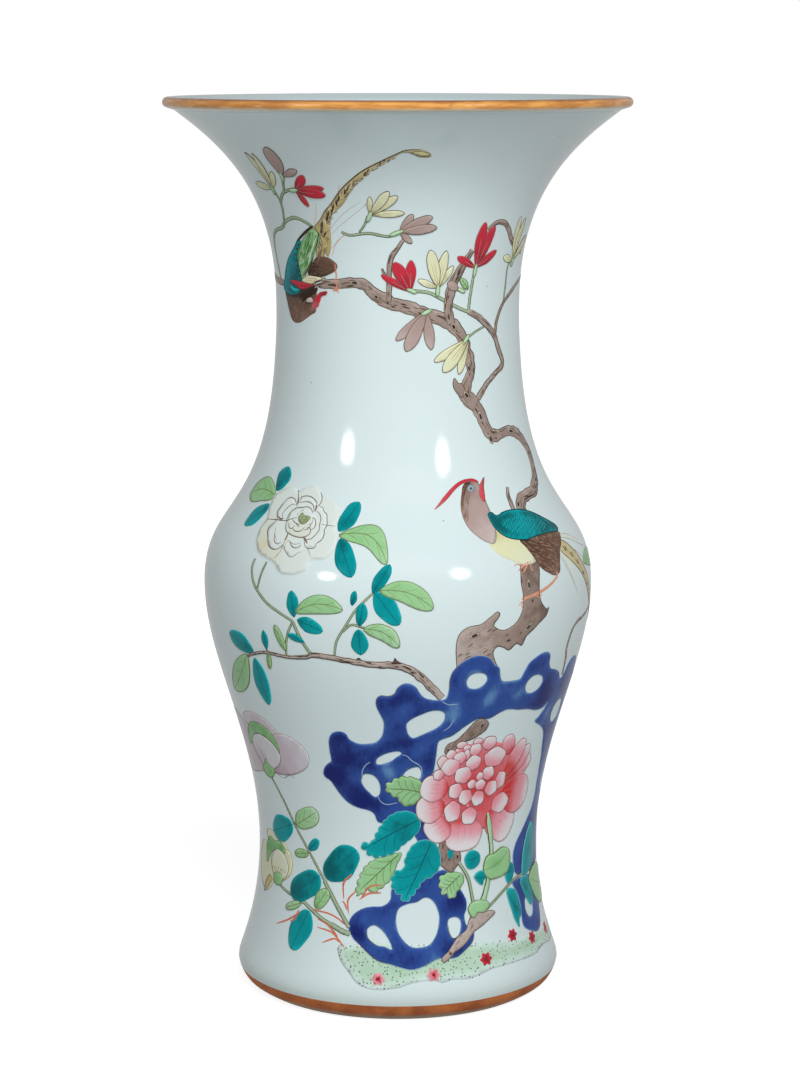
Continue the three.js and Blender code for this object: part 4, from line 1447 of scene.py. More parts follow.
    strokes(
        "white_peony", "sepia", 0.26, 0.4,
        [(-20.9, 242.1), (-23.6, 242.2), (-26.4, 242.5)], [(-26.7, 228.2), (-28, 231), (-29.6, 232.8)],
        [(-39.4, 225.6), (-38, 229), (-37.6, 232.6)],
        [(-37, 233.4), (-36.7, 230.5), (-35.4, 229), (-33.8, 227.4), (-32.4, 228), (-31.4, 229.6), (-30.2, 230)],
        [(-43.6, 239.4), (-42.6, 236), (-40.8, 233.6)], [(-36.6, 234.6), (-34, 233), (-31.4, 233.6)],
    )
    heart = [(-35.8, 244.4), (-35, 246.8), (-33.6, 245.8), (-32, 245.6), (-30.8, 244.8), (-31.6, 242.6), (-33, 241.6), (-34.6, 242.2)]
    area("white_peony", "olive_line", heart, glow((-33.4, 243.6), 2.8, 0.4, 0.0), fine=0.6)
    hatching("white_peony", "sage", heart, 70, 1.2, 40, 0.3, 0.3, 60)
    strokes("white_peony", "sepia", 0.3, 0.4, [(-38.2, 243.6), (-37, 242.4), (-35.6, 241.6), (-34.6, 240.2)],
            [(-31, 241.4), (-29.6, 242.8), (-30, 245)], [(-36.8, 245.2), (-35.8, 247), (-34.4, 248)])
    strokes("white_peony", "cream", 0.7, 0.0, [(-37.6, 244.6), (-36.6, 246.2), (-35.4, 247.2)],
            [(-36.8, 242.8), (-35.8, 242.2)])


def paint_poppy(motif, enamel_name, heart, listed, weights):
    """A poppy seen from below: its back petals, the green inside behind its cupped front petal, its filaments."""
    sepia = ("sepia", 0.2, 0.3)
    for outline, wash in listed:
        area(motif, enamel_name, outline, wash, edge=sepia)
    inside, front, cup, filaments = heart
    area(motif, "green", inside, weights[0], edge=("olive_line", 0.22, 0.5))
    area(motif, enamel_name, front, glow(cup[0], 13, weights[1], 0.0), edge=("sepia", 0.22, 0.5))
    for path in filaments:
        stroke(motif, "sepia", path, 0.26, 0.5)
    area(motif, "green", cup, 0.65, edge=("olive_line", 0.22, 0.5))


def paint_lower_left():
    """The poppies, their round leaves and the red grass beside the rock."""
    stems(
        "poppy",
        (1.3, (-56.5, 114), (-50, 102), (-45, 91), (-38, 79), (-30, 65)),
        (2.0, (-30.6, 66), (-25, 55.5), (-19, 45)),
        (1.4, (-56.5, 58.5), (-50, 56), (-40, 53.5)),
        (1.9, (-40.4, 53.6), (-32, 48), (-26, 45)),
        (2.6, (-26.6, 45.4), (-22, 43), (-18.5, 42)),
        (1.0, (-45.5, 91.5), (-42.5, 94)),
        (0.9, (-40.5, 53.5), (-42.6, 52)),
    )
    paint_poppy(
        "poppy", "lilac",
        (
            [(-68, 127), (-66.5, 134), (-62, 139.5), (-56, 141), (-50, 138.5), (-47, 133), (-47, 127.5), (-49.5, 131),
             (-54, 134.5), (-60, 134.5), (-63.5, 130)],
            [(-57, 117), (-62.5, 121), (-65, 126.5), (-63.5, 131.5), (-59, 134.5), (-54, 134.5), (-49.5, 131.5),
             (-47, 126.5), (-48.5, 121.5), (-52.5, 118)],
            [(-61, 117.5), (-58.5, 119.5), (-57, 122.5), (-55.5, 119.5), (-52.5, 117.5), (-54, 114), (-57, 112.5),
             (-60, 114)],
            [[(-57, 117.5), (-57 + spread * 0.6, 122), (-57 + spread, 127)] for spread in (-2.6, -1.2, 0.4)],
        ),
        (
            ([(-64, 137), (-67, 142), (-60, 145.8), (-52, 144.8), (-46, 140), (-44.6, 134), (-50, 132), (-57, 134)],
             glow((-54, 134), 17, 0.5, 0.15)),
            ([(-63, 134), (-70, 140), (-80, 142), (-90, 136), (-93, 126), (-86, 115), (-76, 111), (-66, 113),
              (-58, 117), (-60, 126)], glow((-62, 124), 26, 0.5, 0.2)),
            ([(-49, 136), (-43, 138.5), (-37, 136), (-33, 130), (-34.5, 123), (-41, 118), (-49, 116), (-55, 117),
              (-52, 124), (-49, 129)], fade((-30, 130), (-56, 114))),
        ),
        (0.75, 0.6),
    )
    strokes("poppy", "sepia", 0.22, 0.5, [(-52, 116.4), (-48, 114.5), (-44, 116.8), (-40, 118.6)],
            [(-47, 114.6), (-44.4, 117.4), (-41.6, 115.8)])
    paint_poppy(
        "small_poppy", "lemon",
        (
            [(-68, 66), (-68.5, 74), (-65, 80), (-60, 79), (-56, 80), (-52, 76), (-55, 73), (-60, 74.5), (-64, 71.5)],
            [(-57, 60), (-61.5, 63), (-63.5, 68.5), (-61, 73.5), (-57, 75.5), (-52.5, 73.5), (-50, 68), (-52, 62.5)],
            [(-60.5, 62), (-57.5, 64), (-54, 62.5), (-54.5, 59), (-57, 57.5), (-60, 58.5)],
            [[(-57, 61.5), (-57 + spread * 0.7, 64), (-57 + spread * 1.2, 66.5)] for spread in (-3.4, -1.6, 0, 1.6, 3.4)],
        ),
        (
            ([(-66, 72), (-73, 76), (-78, 68), (-76, 58), (-68, 52), (-62, 56), (-60, 64)], 0.3),
            ([(-64, 74), (-68, 82), (-60, 84), (-52, 80), (-50, 73), (-56, 72)], 0.2),
            ([(-54, 75), (-50, 76.5), (-47.6, 72), (-48.6, 65.5), (-52, 61.5), (-56, 61)], fade((-40, 72), (-60, 60))),
        ),
        (0.8, 0.5),
    )
    for spread in (-4, -2, 0, 2, 4):
        dot("small_poppy", "sepia", (-57 + spread * 1.2, 66.5 - abs(spread) * 0.3), 0.35, 0.9, 6)
    area("small_poppy", "ochre", [(-62, 59), (-65, 60.5), (-68.5, 56), (-69, 51), (-66, 53.5), (-63.5, 56.5)], 0.5,
         edge=("sepia", 0.25, 0.8))
    leaves(
        "poppy",
        turquoise=(
            ((-46.5, 91), (-60.5, 84), 13), ((-38, 80), (-33, 86), 5), ((-29.8, 67.5), (-16.5, 83.5), 15),
            ((-47.5, 55), (-33, 68), 14), ((-37.5, 50), (-44, 30), 13),
        ),
        green=(
            ((-44, 91.5), (-32.5, 100.5), 10.5), ((-38.5, 78), (-46, 76.5), 4.6), ((-34, 52), (-29, 62), 7),
            ((-42, 52.5), (-50, 48.5), 4.2),
        ),
        shape=(0.5, 0.48),
    )
    strokes(
        "grass", "coral_line", 0.9, 0.5,
        [(-55, 39), (-48, 43), (-42, 48)], [(-46.5, 42.6), (-44, 44.5), (-42.6, 49)],
        [(-36, 51), (-27, 50), (-20, 46)], [(-33, 43), (-26, 41.5), (-20.5, 35.5)],
        [(-30, 36), (-25, 38.8), (-22.5, 37.5)], [(-21.8, 58), (-22, 66), (-18.5, 71)],
        [(-19.5, 51), (-20, 58), (-16.5, 63)], [(-20.3, 53), (-21.3, 56), (-22.4, 57.2)],
        [(-15.5, 58.5), (-11.5, 62), (-6.5, 62.6)], [(-33, 47), (-28, 45), (-23.5, 40)],
        [(-14.5, 60), (-11, 65.5), (-6, 66.5)],
        taper=(0.15, 0.5),
    )


def paint_stump():
    """The broken stump on the rock, its trunk behind the lower bird, and the thin twig at the right."""
    stump = [
        (17.3, 179), (16.8, 187), (17.5, 193), (20, 196.5), (24, 197.5), (26.5, 200), (29.2, 202.8), (30, 201),
        (28.2, 197), (29, 195), (31.5, 193.5), (34.5, 195), (36.6, 198), (38, 203), (38.2, 209), (37.8, 215), (38.3, 221),
        (39, 227), (41, 232), (46, 232), (46.6, 226), (45.6, 219), (44.8, 213), (44.6, 208), (45.4, 204), (47.6, 200.5),
        (48.6, 201.4), (47.6, 197.5), (44.6, 194.3), (42.4, 191.6), (40, 189), (38.6, 184.8), (36.5, 186), (34, 183.3),
        (32, 185), (29.8, 185.8), (28.6, 183), (29.6, 178.5), (31.5, 172), (24, 174), (18, 174),
    ]
    area("stump", "bark", stump, fade((12, 186), (56, 204)), edge=("sepia", 0.36, 0.85))
    low, high = ([point for point in stump if (point[1] < 202) == lower] for lower in (True, False))
    for part, heading, count in ((low, 24, 130), (high, 86, 110)):
        hatching("stump", "sepia", part, heading, 7.5, count, 0.3, 0.3)
        hatching("stump", "sepia", part, heading, 3, count // 6, 0.6, 0.8)
    for centre, wide, high, lean in (
        ((22.2, 192.4), 1.9, 0.8, 18), ((40.4, 193.4), 1.9, 0.7, 40), ((40.6, 213.5), 0.7, 1.9, 0), ((33.4, 188.4), 1.3, 0.5, 10),
        ((41.6, 206), 0.5, 1.1, 0),
    ):
        knot("stump", centre, wide, high, lean)
    limb("stump", [(64, 163, 1.3), (63, 172, 1.5), (61.8, 177, 1.6), (62.5, 183, 1.6), (64, 187, 1.4), (67, 189.5, 1.4), (72, 190.5, 1.2),
                   (80, 193, 1.1), (87, 195, 0.8)])


def paint_branches():
    """The gnarled magnolia branch that climbs from the lower bird and crosses the neck, and its green twigs."""
    stems(
        "twig",
        (1.7, (-69.5, 353), (-71.5, 360), (-72, 368), (-69, 374.5), (-64, 377.5), (-58, 379), (-54, 382), (-47, 384.3),
         (-41, 382.5), (-37, 379.5)),
        (1.3, (-56, 379.5), (-53.5, 386), (-52.5, 392), (-54, 399.5)),
        (1.3, (-52.5, 391), (-49, 395.5), (-44, 397.6), (-40.5, 398)),
        (1.1, (-47.5, 396.5), (-45.6, 401), (-44.8, 404)),
        (1.3, (-24, 378.4), (-20, 377), (-12, 378), (-4, 376.6), (0.5, 378.6)),
        (1.0, (-16, 378.4), (-13.6, 382), (-12, 386)),
        (1.6, (34, 340.5), (35.4, 350), (36.8, 359.5)),
        (1.7, (6, 351), (14, 350), (20, 347), (27.5, 343), (34.5, 340)),
        (1.3, (18, 348), (18, 352)),
        (1.4, (20, 339), (15.5, 341.5), (12.5, 341)),
        (1.2, (58, 343), (59.5, 352), (60, 360), (63, 364)),
        (1.0, (33.5, 328), (38, 330.5), (44, 333)),
    )
    for part in (
        [(-88, 354.5, 2.4), (-80, 353.5, 2.8), (-72, 352.5, 2.8), (-62, 351.5, 2.4)],
        [(51, 328, 1.8), (53, 336, 1.8), (58, 343, 1.7), (68, 349, 1.6), (78, 352.5, 1.5), (90, 354, 1.2)],
        [(41, 379, 1.6), (45, 382, 2.2), (50, 382, 2.4), (54.5, 378.5, 2.4), (60, 372.5, 2.6), (67, 368, 2.2),
         (75, 366, 1.6)],
        [(45.8, 257, 1.4), (44.6, 252, 2.2), (44.8, 246, 2.8)],
        [(48, 243, 6.6), (49, 248, 6), (52, 251.4, 5), (58, 252.6, 4.8), (62, 254.2, 4.8), (67, 259, 5),
         (69.8, 266, 5), (69.2, 272, 5), (65, 277.6, 5.2), (59.4, 281.4, 5.2), (53, 282, 4.4), (47, 281, 5),
         (43, 282, 6.4), (40.5, 287, 5.6), (37.5, 294, 6.4), (32.5, 300, 6.4)],
        [(37, 296, 6), (32, 300.5, 7), (32.5, 306, 5), (35, 312, 4.6), (34.5, 318, 5), (32.5, 323.5, 5.6),
         (31, 328, 5.2), (26.5, 333.5, 6.2), (20, 337.5, 6.6), (12, 340.5, 6), (5, 343, 5.6), (-3, 345.5, 6),
         (-10, 349, 5.8), (-15, 353.5, 5.2), (-20, 354.6, 4.6), (-27, 353.8, 4.8), (-33, 353.4, 4.6), (-38, 353.2, 3.6), (-42, 353.2, 2)],
        [(34, 340.5, 2.4), (39, 338, 2.8), (44, 334.5, 2.8), (50, 329, 3), (53.3, 322, 2.6), (56.3, 314.5, 2.6),
         (52, 311, 2.4), (44, 305.5, 2.6), (38, 299, 3)],
        [(25, 335, 4), (23.6, 342, 4.2), (24.4, 350, 4.8), (27, 357, 4.4), (31, 363.5, 3.6), (34.4, 369.5, 2.2)],
        [(-4, 346, 2.4), (-3.8, 352, 2.3), (-3.8, 358, 2.2), (-3, 366, 2.2), (0, 371, 1.8), (2.6, 375.6, 1.2)],
        [(-3.8, 354, 1.2), (-5.6, 358, 1.1), (-7, 361.5, 0.8)],
    ):
        limb("branch", part)
    burr = [(29.5, 300), (27, 302.5), (25.4, 306), (26.2, 309.5), (28, 307), (30, 306.5), (31.5, 303)]
    area("branch", "bark", burr, 0.5, edge=("sepia", 0.3, 0.75))
    for centre, wide, high, lean in (
        ((-19.6, 354.6), 1.8, 0.7, -4), ((-9.6, 348.2), 1.1, 0.6, -35), ((-4.4, 345.4), 0.9, 0.5, -20),
        ((26.3, 333.6), 0.9, 1.4, 30), ((34, 313.5), 0.6, 1.5, 10), ((32, 301), 0.8, 1.7, 35), ((38.6, 290.5), 0.8, 1.9, 15),
        ((42.8, 279.6), 0.8, 1.8, 20), ((57.2, 281.8), 2.3, 0.8, -10), ((69.4, 269.6), 0.7, 1.4, -5), ((48, 248.8), 0.7, 1.6, -25),
        ((66.6, 257.4), 1.7, 0.7, 40),
    ):
        knot("branch", centre, wide, high, lean)


def paint_magnolias():
    """The magnolias, in yellow, red and mauve: each a base and the tips and widths of its petals."""
    for enamel_name, base, listed in (
        ("lemon", (-53.5, 398), (((-65, 399.6), 4), ((-48.2, 406), 4), ((-56.6, 415), 4.6), ((-52.6, 414.5), 4.6))),
        ("mauve", (-44.4, 404), (((-36, 407.2), 3.4), ((-43, 418), 9.4))),
        ("iron_red", (-41, 397.5), (((-37, 390), 3.4), ((-34, 404.6), 4.6), ((-27.6, 399), 3.8), ((-27.8, 395.8), 4.8))),
        ("lemon", (-11, 386.8), (((-10.4, 395.4), 2.8), ((2.8, 387.6), 3.6), ((0.4, 395.6), 4.4), ((-2.8, 397.8), 4.4))),
        ("mauve", (0.8, 378.8), (((6, 373.4), 3.2), ((6.2, 387), 4), ((14.2, 385.8), 5.4), ((16.3, 380.8), 5))),
        ("iron_red", (5.8, 350.4), (((-7.4, 358.4), 3.4), ((5.8, 365.4), 5.2), ((-1.6, 364.4), 6.4))),
        ("lemon", (18.5, 352), (((9, 356), 3.4), ((25.4, 362.4), 3.4), ((21.6, 369.6), 5), ((14, 370), 6.4))),
        ("iron_red", (37, 361), (((27, 366.5), 4), ((49, 368.6), 4.2), ((45, 380.5), 5.8), ((38.8, 382.5), 6.2))),
        ("mauve", (13, 341), (((15.4, 323), 5.4), ((-0.8, 327.6), 5), ((3.6, 322.6), 7))),
        ("lemon", (34, 327.5), (((28.4, 311), 4.4), ((16.5, 317.4), 4.6), ((20.6, 312.4), 6.6))),
        ("mauve", (29, 350.5), (((23, 354.6), 4.4),)),
        ("lemon", (64, 363), (((55, 365), 4), ((62, 384), 5), ((68, 383), 5), ((78, 374), 4.6))),
    ):
        wash = (0.9, 0.45, 1.0) if enamel_name == "iron_red" else (0.7, 0.25, 1.0)
        for tip, width in listed:
            line, veins = ("rose_line", 1) if enamel_name == "iron_red" else ("sepia", 2)
            petal("magnolia", enamel_name, base, tip, width * 0.92, line, wash, veins, (0.24, 0.7), (0.95, 0.62))
    for base, tip in (
        ((-53.8, 395), (-53.4, 400.5)), ((-44.9, 401.5), (-44, 406.5)), ((-44, 397.5), (-39.4, 398)),
        ((-12.4, 383.4), (-10, 388.6)), ((-3.4, 377), (2.6, 379.6)), ((8.6, 350), (4, 352)),
        ((18.2, 348), (18.4, 354)), ((36.4, 356.6), (37.4, 363)), ((15.6, 342), (10.6, 339.6)), ((34.6, 329.6), (31, 325)),
        ((32, 349.6), (28, 351.6)), ((63, 360), (65, 366)),
    ):
        outline, *_ = blade(base, tip, 1.9, (0.5, 0.6), fine=0.7)
        on("magnolia", "green").patch(outline, 0.1, spacing=0.9)
        on("magnolia", "olive_line").line(outline, 0.22, 0.4, closed=True)
    leaves("magnolia", green=(((33.5, 351), (29.4, 356.5), 3.2),))


def paint_upper_bird():
    """The long-tailed bird on the neck, head down on the branch."""
    bird = "upper_bird"
    sepia = ("sepia", 0.26, 0.7)
    strokes(bird, "sepia", 0.2, 0.1, [(-29, 377), (-24, 381.5), (-16, 388), (-11, 393)], [(-29.6, 379), (-22, 387), (-14, 393)],
            [(-30, 370), (-26, 374.5), (-21, 378)])
    strokes(bird, "coral_line", 0.34, 0.1, [(-37, 381), (-35, 385), (-33, 392)], [(-30, 367), (-27, 373), (-22, 378)],
            [(-22.8, 396), (-21.6, 399), (-21.2, 401)])
    tail = [
        (-36.8, 380.6), (-33, 384), (-30, 388), (-26.5, 391.5), (-23, 396), (-19.5, 400), (-15, 404.5), (-11, 408),
        (-6, 411.5), (-1, 415), (2.5, 417.2), (6, 417.6), (9, 416.4), (10.4, 414.6), (9, 413.8), (6.4, 414.2),
        (4, 415.8), (1.4, 416), (-2, 413.4), (-6, 410.4), (-10, 406.4), (-13.5, 403), (-16, 399.4), (-18.5, 395.8),
        (-21.5, 391.5), (-25, 388.2), (-28, 385), (-29, 380), (-29.4, 376), (-30, 371), (-32, 366.4), (-33.4, 368),
        (-35.4, 365), (-37, 366.8), (-39, 364.6), (-38, 369), (-36, 372.8), (-35, 376), (-36.4, 378.8),
    ]
    area(bird, "ochre", tail, fade((40, 452), (-56, 322)), edge=("sepia", 0.18, 0.2))
    shaft = [(-37, 366), (-33, 374), (-31.6, 380), (-27.6, 387.4), (-21.4, 395), (-14.4, 402.4), (-8, 408.2), (0, 414.4)]
    barbs(bird, "sepia", shaft, (3.0, 3.2, 2.2, 1.0, 0.5), 130, 0.34, 0.5)
    barbs(bird, "ochre", shaft, (3.0, 3.0, 2.0, 0.9, 0.4), 60, 0.4, 0.0)
    strokes(bird, "sepia", 0.6, 0.75, [(-36.8, 380.6), (-33, 384), (-30, 388), (-26.5, 391.5), (-23, 396), (-19.5, 400), (-15, 404.5),
            (-11, 408), (-6, 411.5), (-1, 415), (2.5, 417.2), (7, 417.4)], [(4, 415.4), (5.6, 416.2), (8.4, 415.4)])
    for azimuth, height in (
        (-33.4, 379), (-32.6, 381.6), (-32, 377), (-29.6, 384.6), (-28.6, 386.8), (-26.8, 388), (-25.8, 390), (-23.8, 392.4),
        (-22.6, 394.2), (-19.6, 397.4), (-18.4, 399), (-15.6, 401.8), (-11, 406.2), (-9.8, 407.6), (-5.6, 411), (-4.2, 412.2),
    ):
        size = np.interp(azimuth, [-33, -4], [1.5, 0.7])
        bar = place((azimuth, height), [(size * 0.5, size * 1.1), (0, 0), (-size * 0.5, -size * 1.1)])
        stroke(bird, "sepia", bar, np.interp(azimuth, [-33, -4], [1.3, 0.6]), 0.9, (0.3, 0.3))
    area(bird, "lemon", [(4.4, 415.8), (6, 416.8), (9, 416), (9.8, 414.8), (7.4, 414.4)], 0.8, edge=("sepia", 0.24, 0.8), fine=0.6)
    thigh = [(-44.7, 358), (-43, 361.3), (-40.5, 364), (-38, 366), (-34, 366.2), (-31.3, 365.6), (-28, 363), (-28.4, 360.6),
             (-31.3, 358.6), (-36.3, 356.8), (-42.2, 356.8)]
    area(bird, "plumage", thigh, fade((-24, 366), (-43, 357)), edge=sepia)
    hatching(bird, "sepia", thigh, 20, 2.6, 110, 0.24, 0.7, 20)
    hatching(bird, "sepia", [(-39, 362), (-34, 366), (-31, 370), (-33, 376), (-35, 374), (-38, 368)], 60, 4, 60, 0.34, 0.5, 16)
    head = [(-64.4, 347.8), (-62.8, 343), (-60.8, 338.6), (-58.4, 335.2), (-55, 333.8), (-51, 334.4), (-47.4, 336.2),
            (-43.6, 338.4), (-41, 339.8), (-40.6, 342), (-42, 344.6), (-40.4, 347), (-40.6, 350), (-44.7, 351), (-50.5, 350),
            (-57.2, 348)]
    area(bird, "plumage", head, fade((-46, 326), (-56, 366)), edge=("sepia", 0.24, 0.45))
    hatching(bird, "sepia", head, 80, 1.6, 300, 0.2, 0.4, 30)
    area(bird, "plumage", [(-54, 347.2), (-50.6, 349), (-47, 350), (-43.5, 351.6), (-40.4, 352.2), (-39.2, 350.8), (-40.6, 348.6),
         (-43.4, 347.4), (-46.4, 346), (-49, 344.2), (-52, 345.8)], 0.9, fine=0.6)
    area(bird, "mauve", [(-47, 344.6), (-45.4, 346.2), (-43.2, 346.4), (-42.6, 344.6), (-44.4, 344)], 0.0, fine=0.5)
    strokes(bird, "sepia", 0.4, 0.9, [(-47.6, 343.8), (-45.4, 343.6), (-43.2, 344.2)], [(-46, 346.4), (-44, 346.8), (-42.6, 346.2)])
    area(bird, "iron_red", [(-41.4, 345.6), (-39.8, 347.8), (-37.4, 349.4), (-34, 350), (-34.4, 348.4), (-37, 347.4), (-38, 345),
         (-39.8, 342.2), (-41.8, 341), (-42.6, 342.8)], fade((-44, 340), (-34, 350)), edge=("rose_line", 0.18, 0.4), fine=0.6)
    hatching(bird, "rose_line", [(-44.4, 340.8), (-41.4, 346), (-38, 349), (-37.4, 346), (-40, 341.2)], 60, 1.8, 40, 0.26, 0.4)
    green_back = [(-49.4, 354.4), (-50.2, 358), (-50.8, 362), (-51, 366), (-49.4, 369), (-46.4, 372.6), (-43, 375.8), (-40, 378.6),
                  (-38, 379.4), (-36, 378), (-35, 375.8), (-36, 372.6), (-38.6, 368.6), (-41, 365), (-43.5, 361), (-46, 357.4),
                  (-48.2, 354.6)]
    area(bird, "green", green_back, lambda spots: 0.7 + 0.3 * glow((-43, 368), 12)(spots), edge=("olive_line", 0.2, 0.5))
    hatching(bird, "olive_line", green_back, 58, 5, 100, 0.34, 0.9, 6)
    hatching(bird, "green", green_back, 58, 5, 70, 0.4, 0.0, 6)
    strokes(bird, "sepia", 0.7, 0.9, [(-35.2, 377.6), (-36.6, 373.2), (-39, 369)], [(-42, 363.6), (-44, 360.6), (-47, 357)],
            [(-40, 366.4), (-42, 363), (-43.4, 359.6)])
    stroke(bird, "lemon", [(-36.6, 376), (-39.4, 371), (-43, 364.6)], 0.5, 0.0)
    wing = [(-65.6, 351), (-64.2, 354), (-61.7, 359), (-58.6, 363.6), (-55, 367), (-51.5, 370.2), (-48.2, 373.6), (-46.6, 372.8),
            (-47.8, 370.2), (-50, 368), (-51, 365), (-50.6, 361), (-49.6, 357), (-49.2, 354.4), (-53.8, 352), (-50.4, 350),
            (-52, 348), (-57, 346.6), (-62, 346.8), (-64.8, 348.8)]
    area(bird, "turquoise", wing, fade((-66, 364), (-52, 358)), edge=("turquoise_line", 0.3, 0.7))
    feather_rows(bird, "turquoise_line", wing, 60, 2.4, 0.7, 0.26)
    hatching(bird, "cobalt_line", wing, 80, 3, 40, 0.36, 0.3, 16)
    area(bird, "turquoise", [(-58.4, 351.6), (-55, 350.4), (-51.6, 349.8), (-54.4, 348.6), (-57.6, 349.6)], 0.0, fine=0.6)
    strokes(bird, "sepia", 1.3, 1.0, [(-48.6, 373.2), (-45.6, 375.4), (-42, 378), (-37.6, 380.8)], taper=(0.4, 0.5))
    stroke(bird, "sepia", [(-64, 347.6), (-58, 346.6), (-53, 347.2), (-48, 349.4), (-41.4, 352)], 1.1, 0.95, (0.3, 0.5))
    for azimuth, height in ((-47.8, 371.4), (-49.6, 369.4), (-51, 366.6), (-51.2, 363.8), (-50.8, 361.2), (-50.2, 358.8), (-49.8, 356.6)):
        stroke(bird, "sepia", place((azimuth, height), [(-1.4, -0.3), (0, 0.2), (0.7, 0)]), 0.8, 0.95)
    area(bird, "lemon", [(-49, 354.5), (-46, 356.5), (-43, 357), (-38, 356.6), (-34, 355.4), (-37, 354.8), (-39.6, 354.2), (-43, 353),
         (-47.6, 353.4)], 0.3, edge=("sepia", 0.2, 0.6), fine=0.6)
    for azimuth in (-46, -44.4, -42.8, -41.2, -39.6):
        dot(bird, "coral_line", (azimuth, 355.8), 0.3, 0.5, 6)
        dot(bird, "coral_line", (azimuth + 0.6, 354.6), 0.3, 0.5, 6)
    area(bird, "iron_red", [(-58.4, 353.6), (-55.6, 354.2), (-50.5, 353.8), (-45, 353.2), (-41.4, 352.6), (-44.4, 351.2),
         (-49.7, 350), (-53.4, 351.4)], 0.6, edge=("sepia", 0.22, 0.8), fine=0.6)
    strokes(bird, "sepia", 0.26, 0.9, [(-53, 352.4), (-47, 351.8), (-42.4, 352.2)])
    strokes(bird, "sepia", 0.5, 0.95, [(-40.4, 354), (-37.6, 355), (-34.4, 356.4)], [(-40, 352.4), (-38, 353), (-36, 353.2)])
    strokes(bird, "cream", 0.36, 0.0, [(-41, 351.2), (-39.4, 352), (-38, 350.6)], [(-40, 353.2), (-38, 354), (-36, 354.4)])
    strokes(bird, "coral_line", 0.6, 0.25, [(-28.8, 363), (-28.6, 357), (-28.9, 350.2)], [(-29.4, 356), (-28, 351)],
            [(-31, 352.6), (-28.6, 351.2), (-26.4, 352)], [(-30.6, 350), (-28.9, 350.8), (-27.6, 349.2)], taper=(0.8, 0.5))


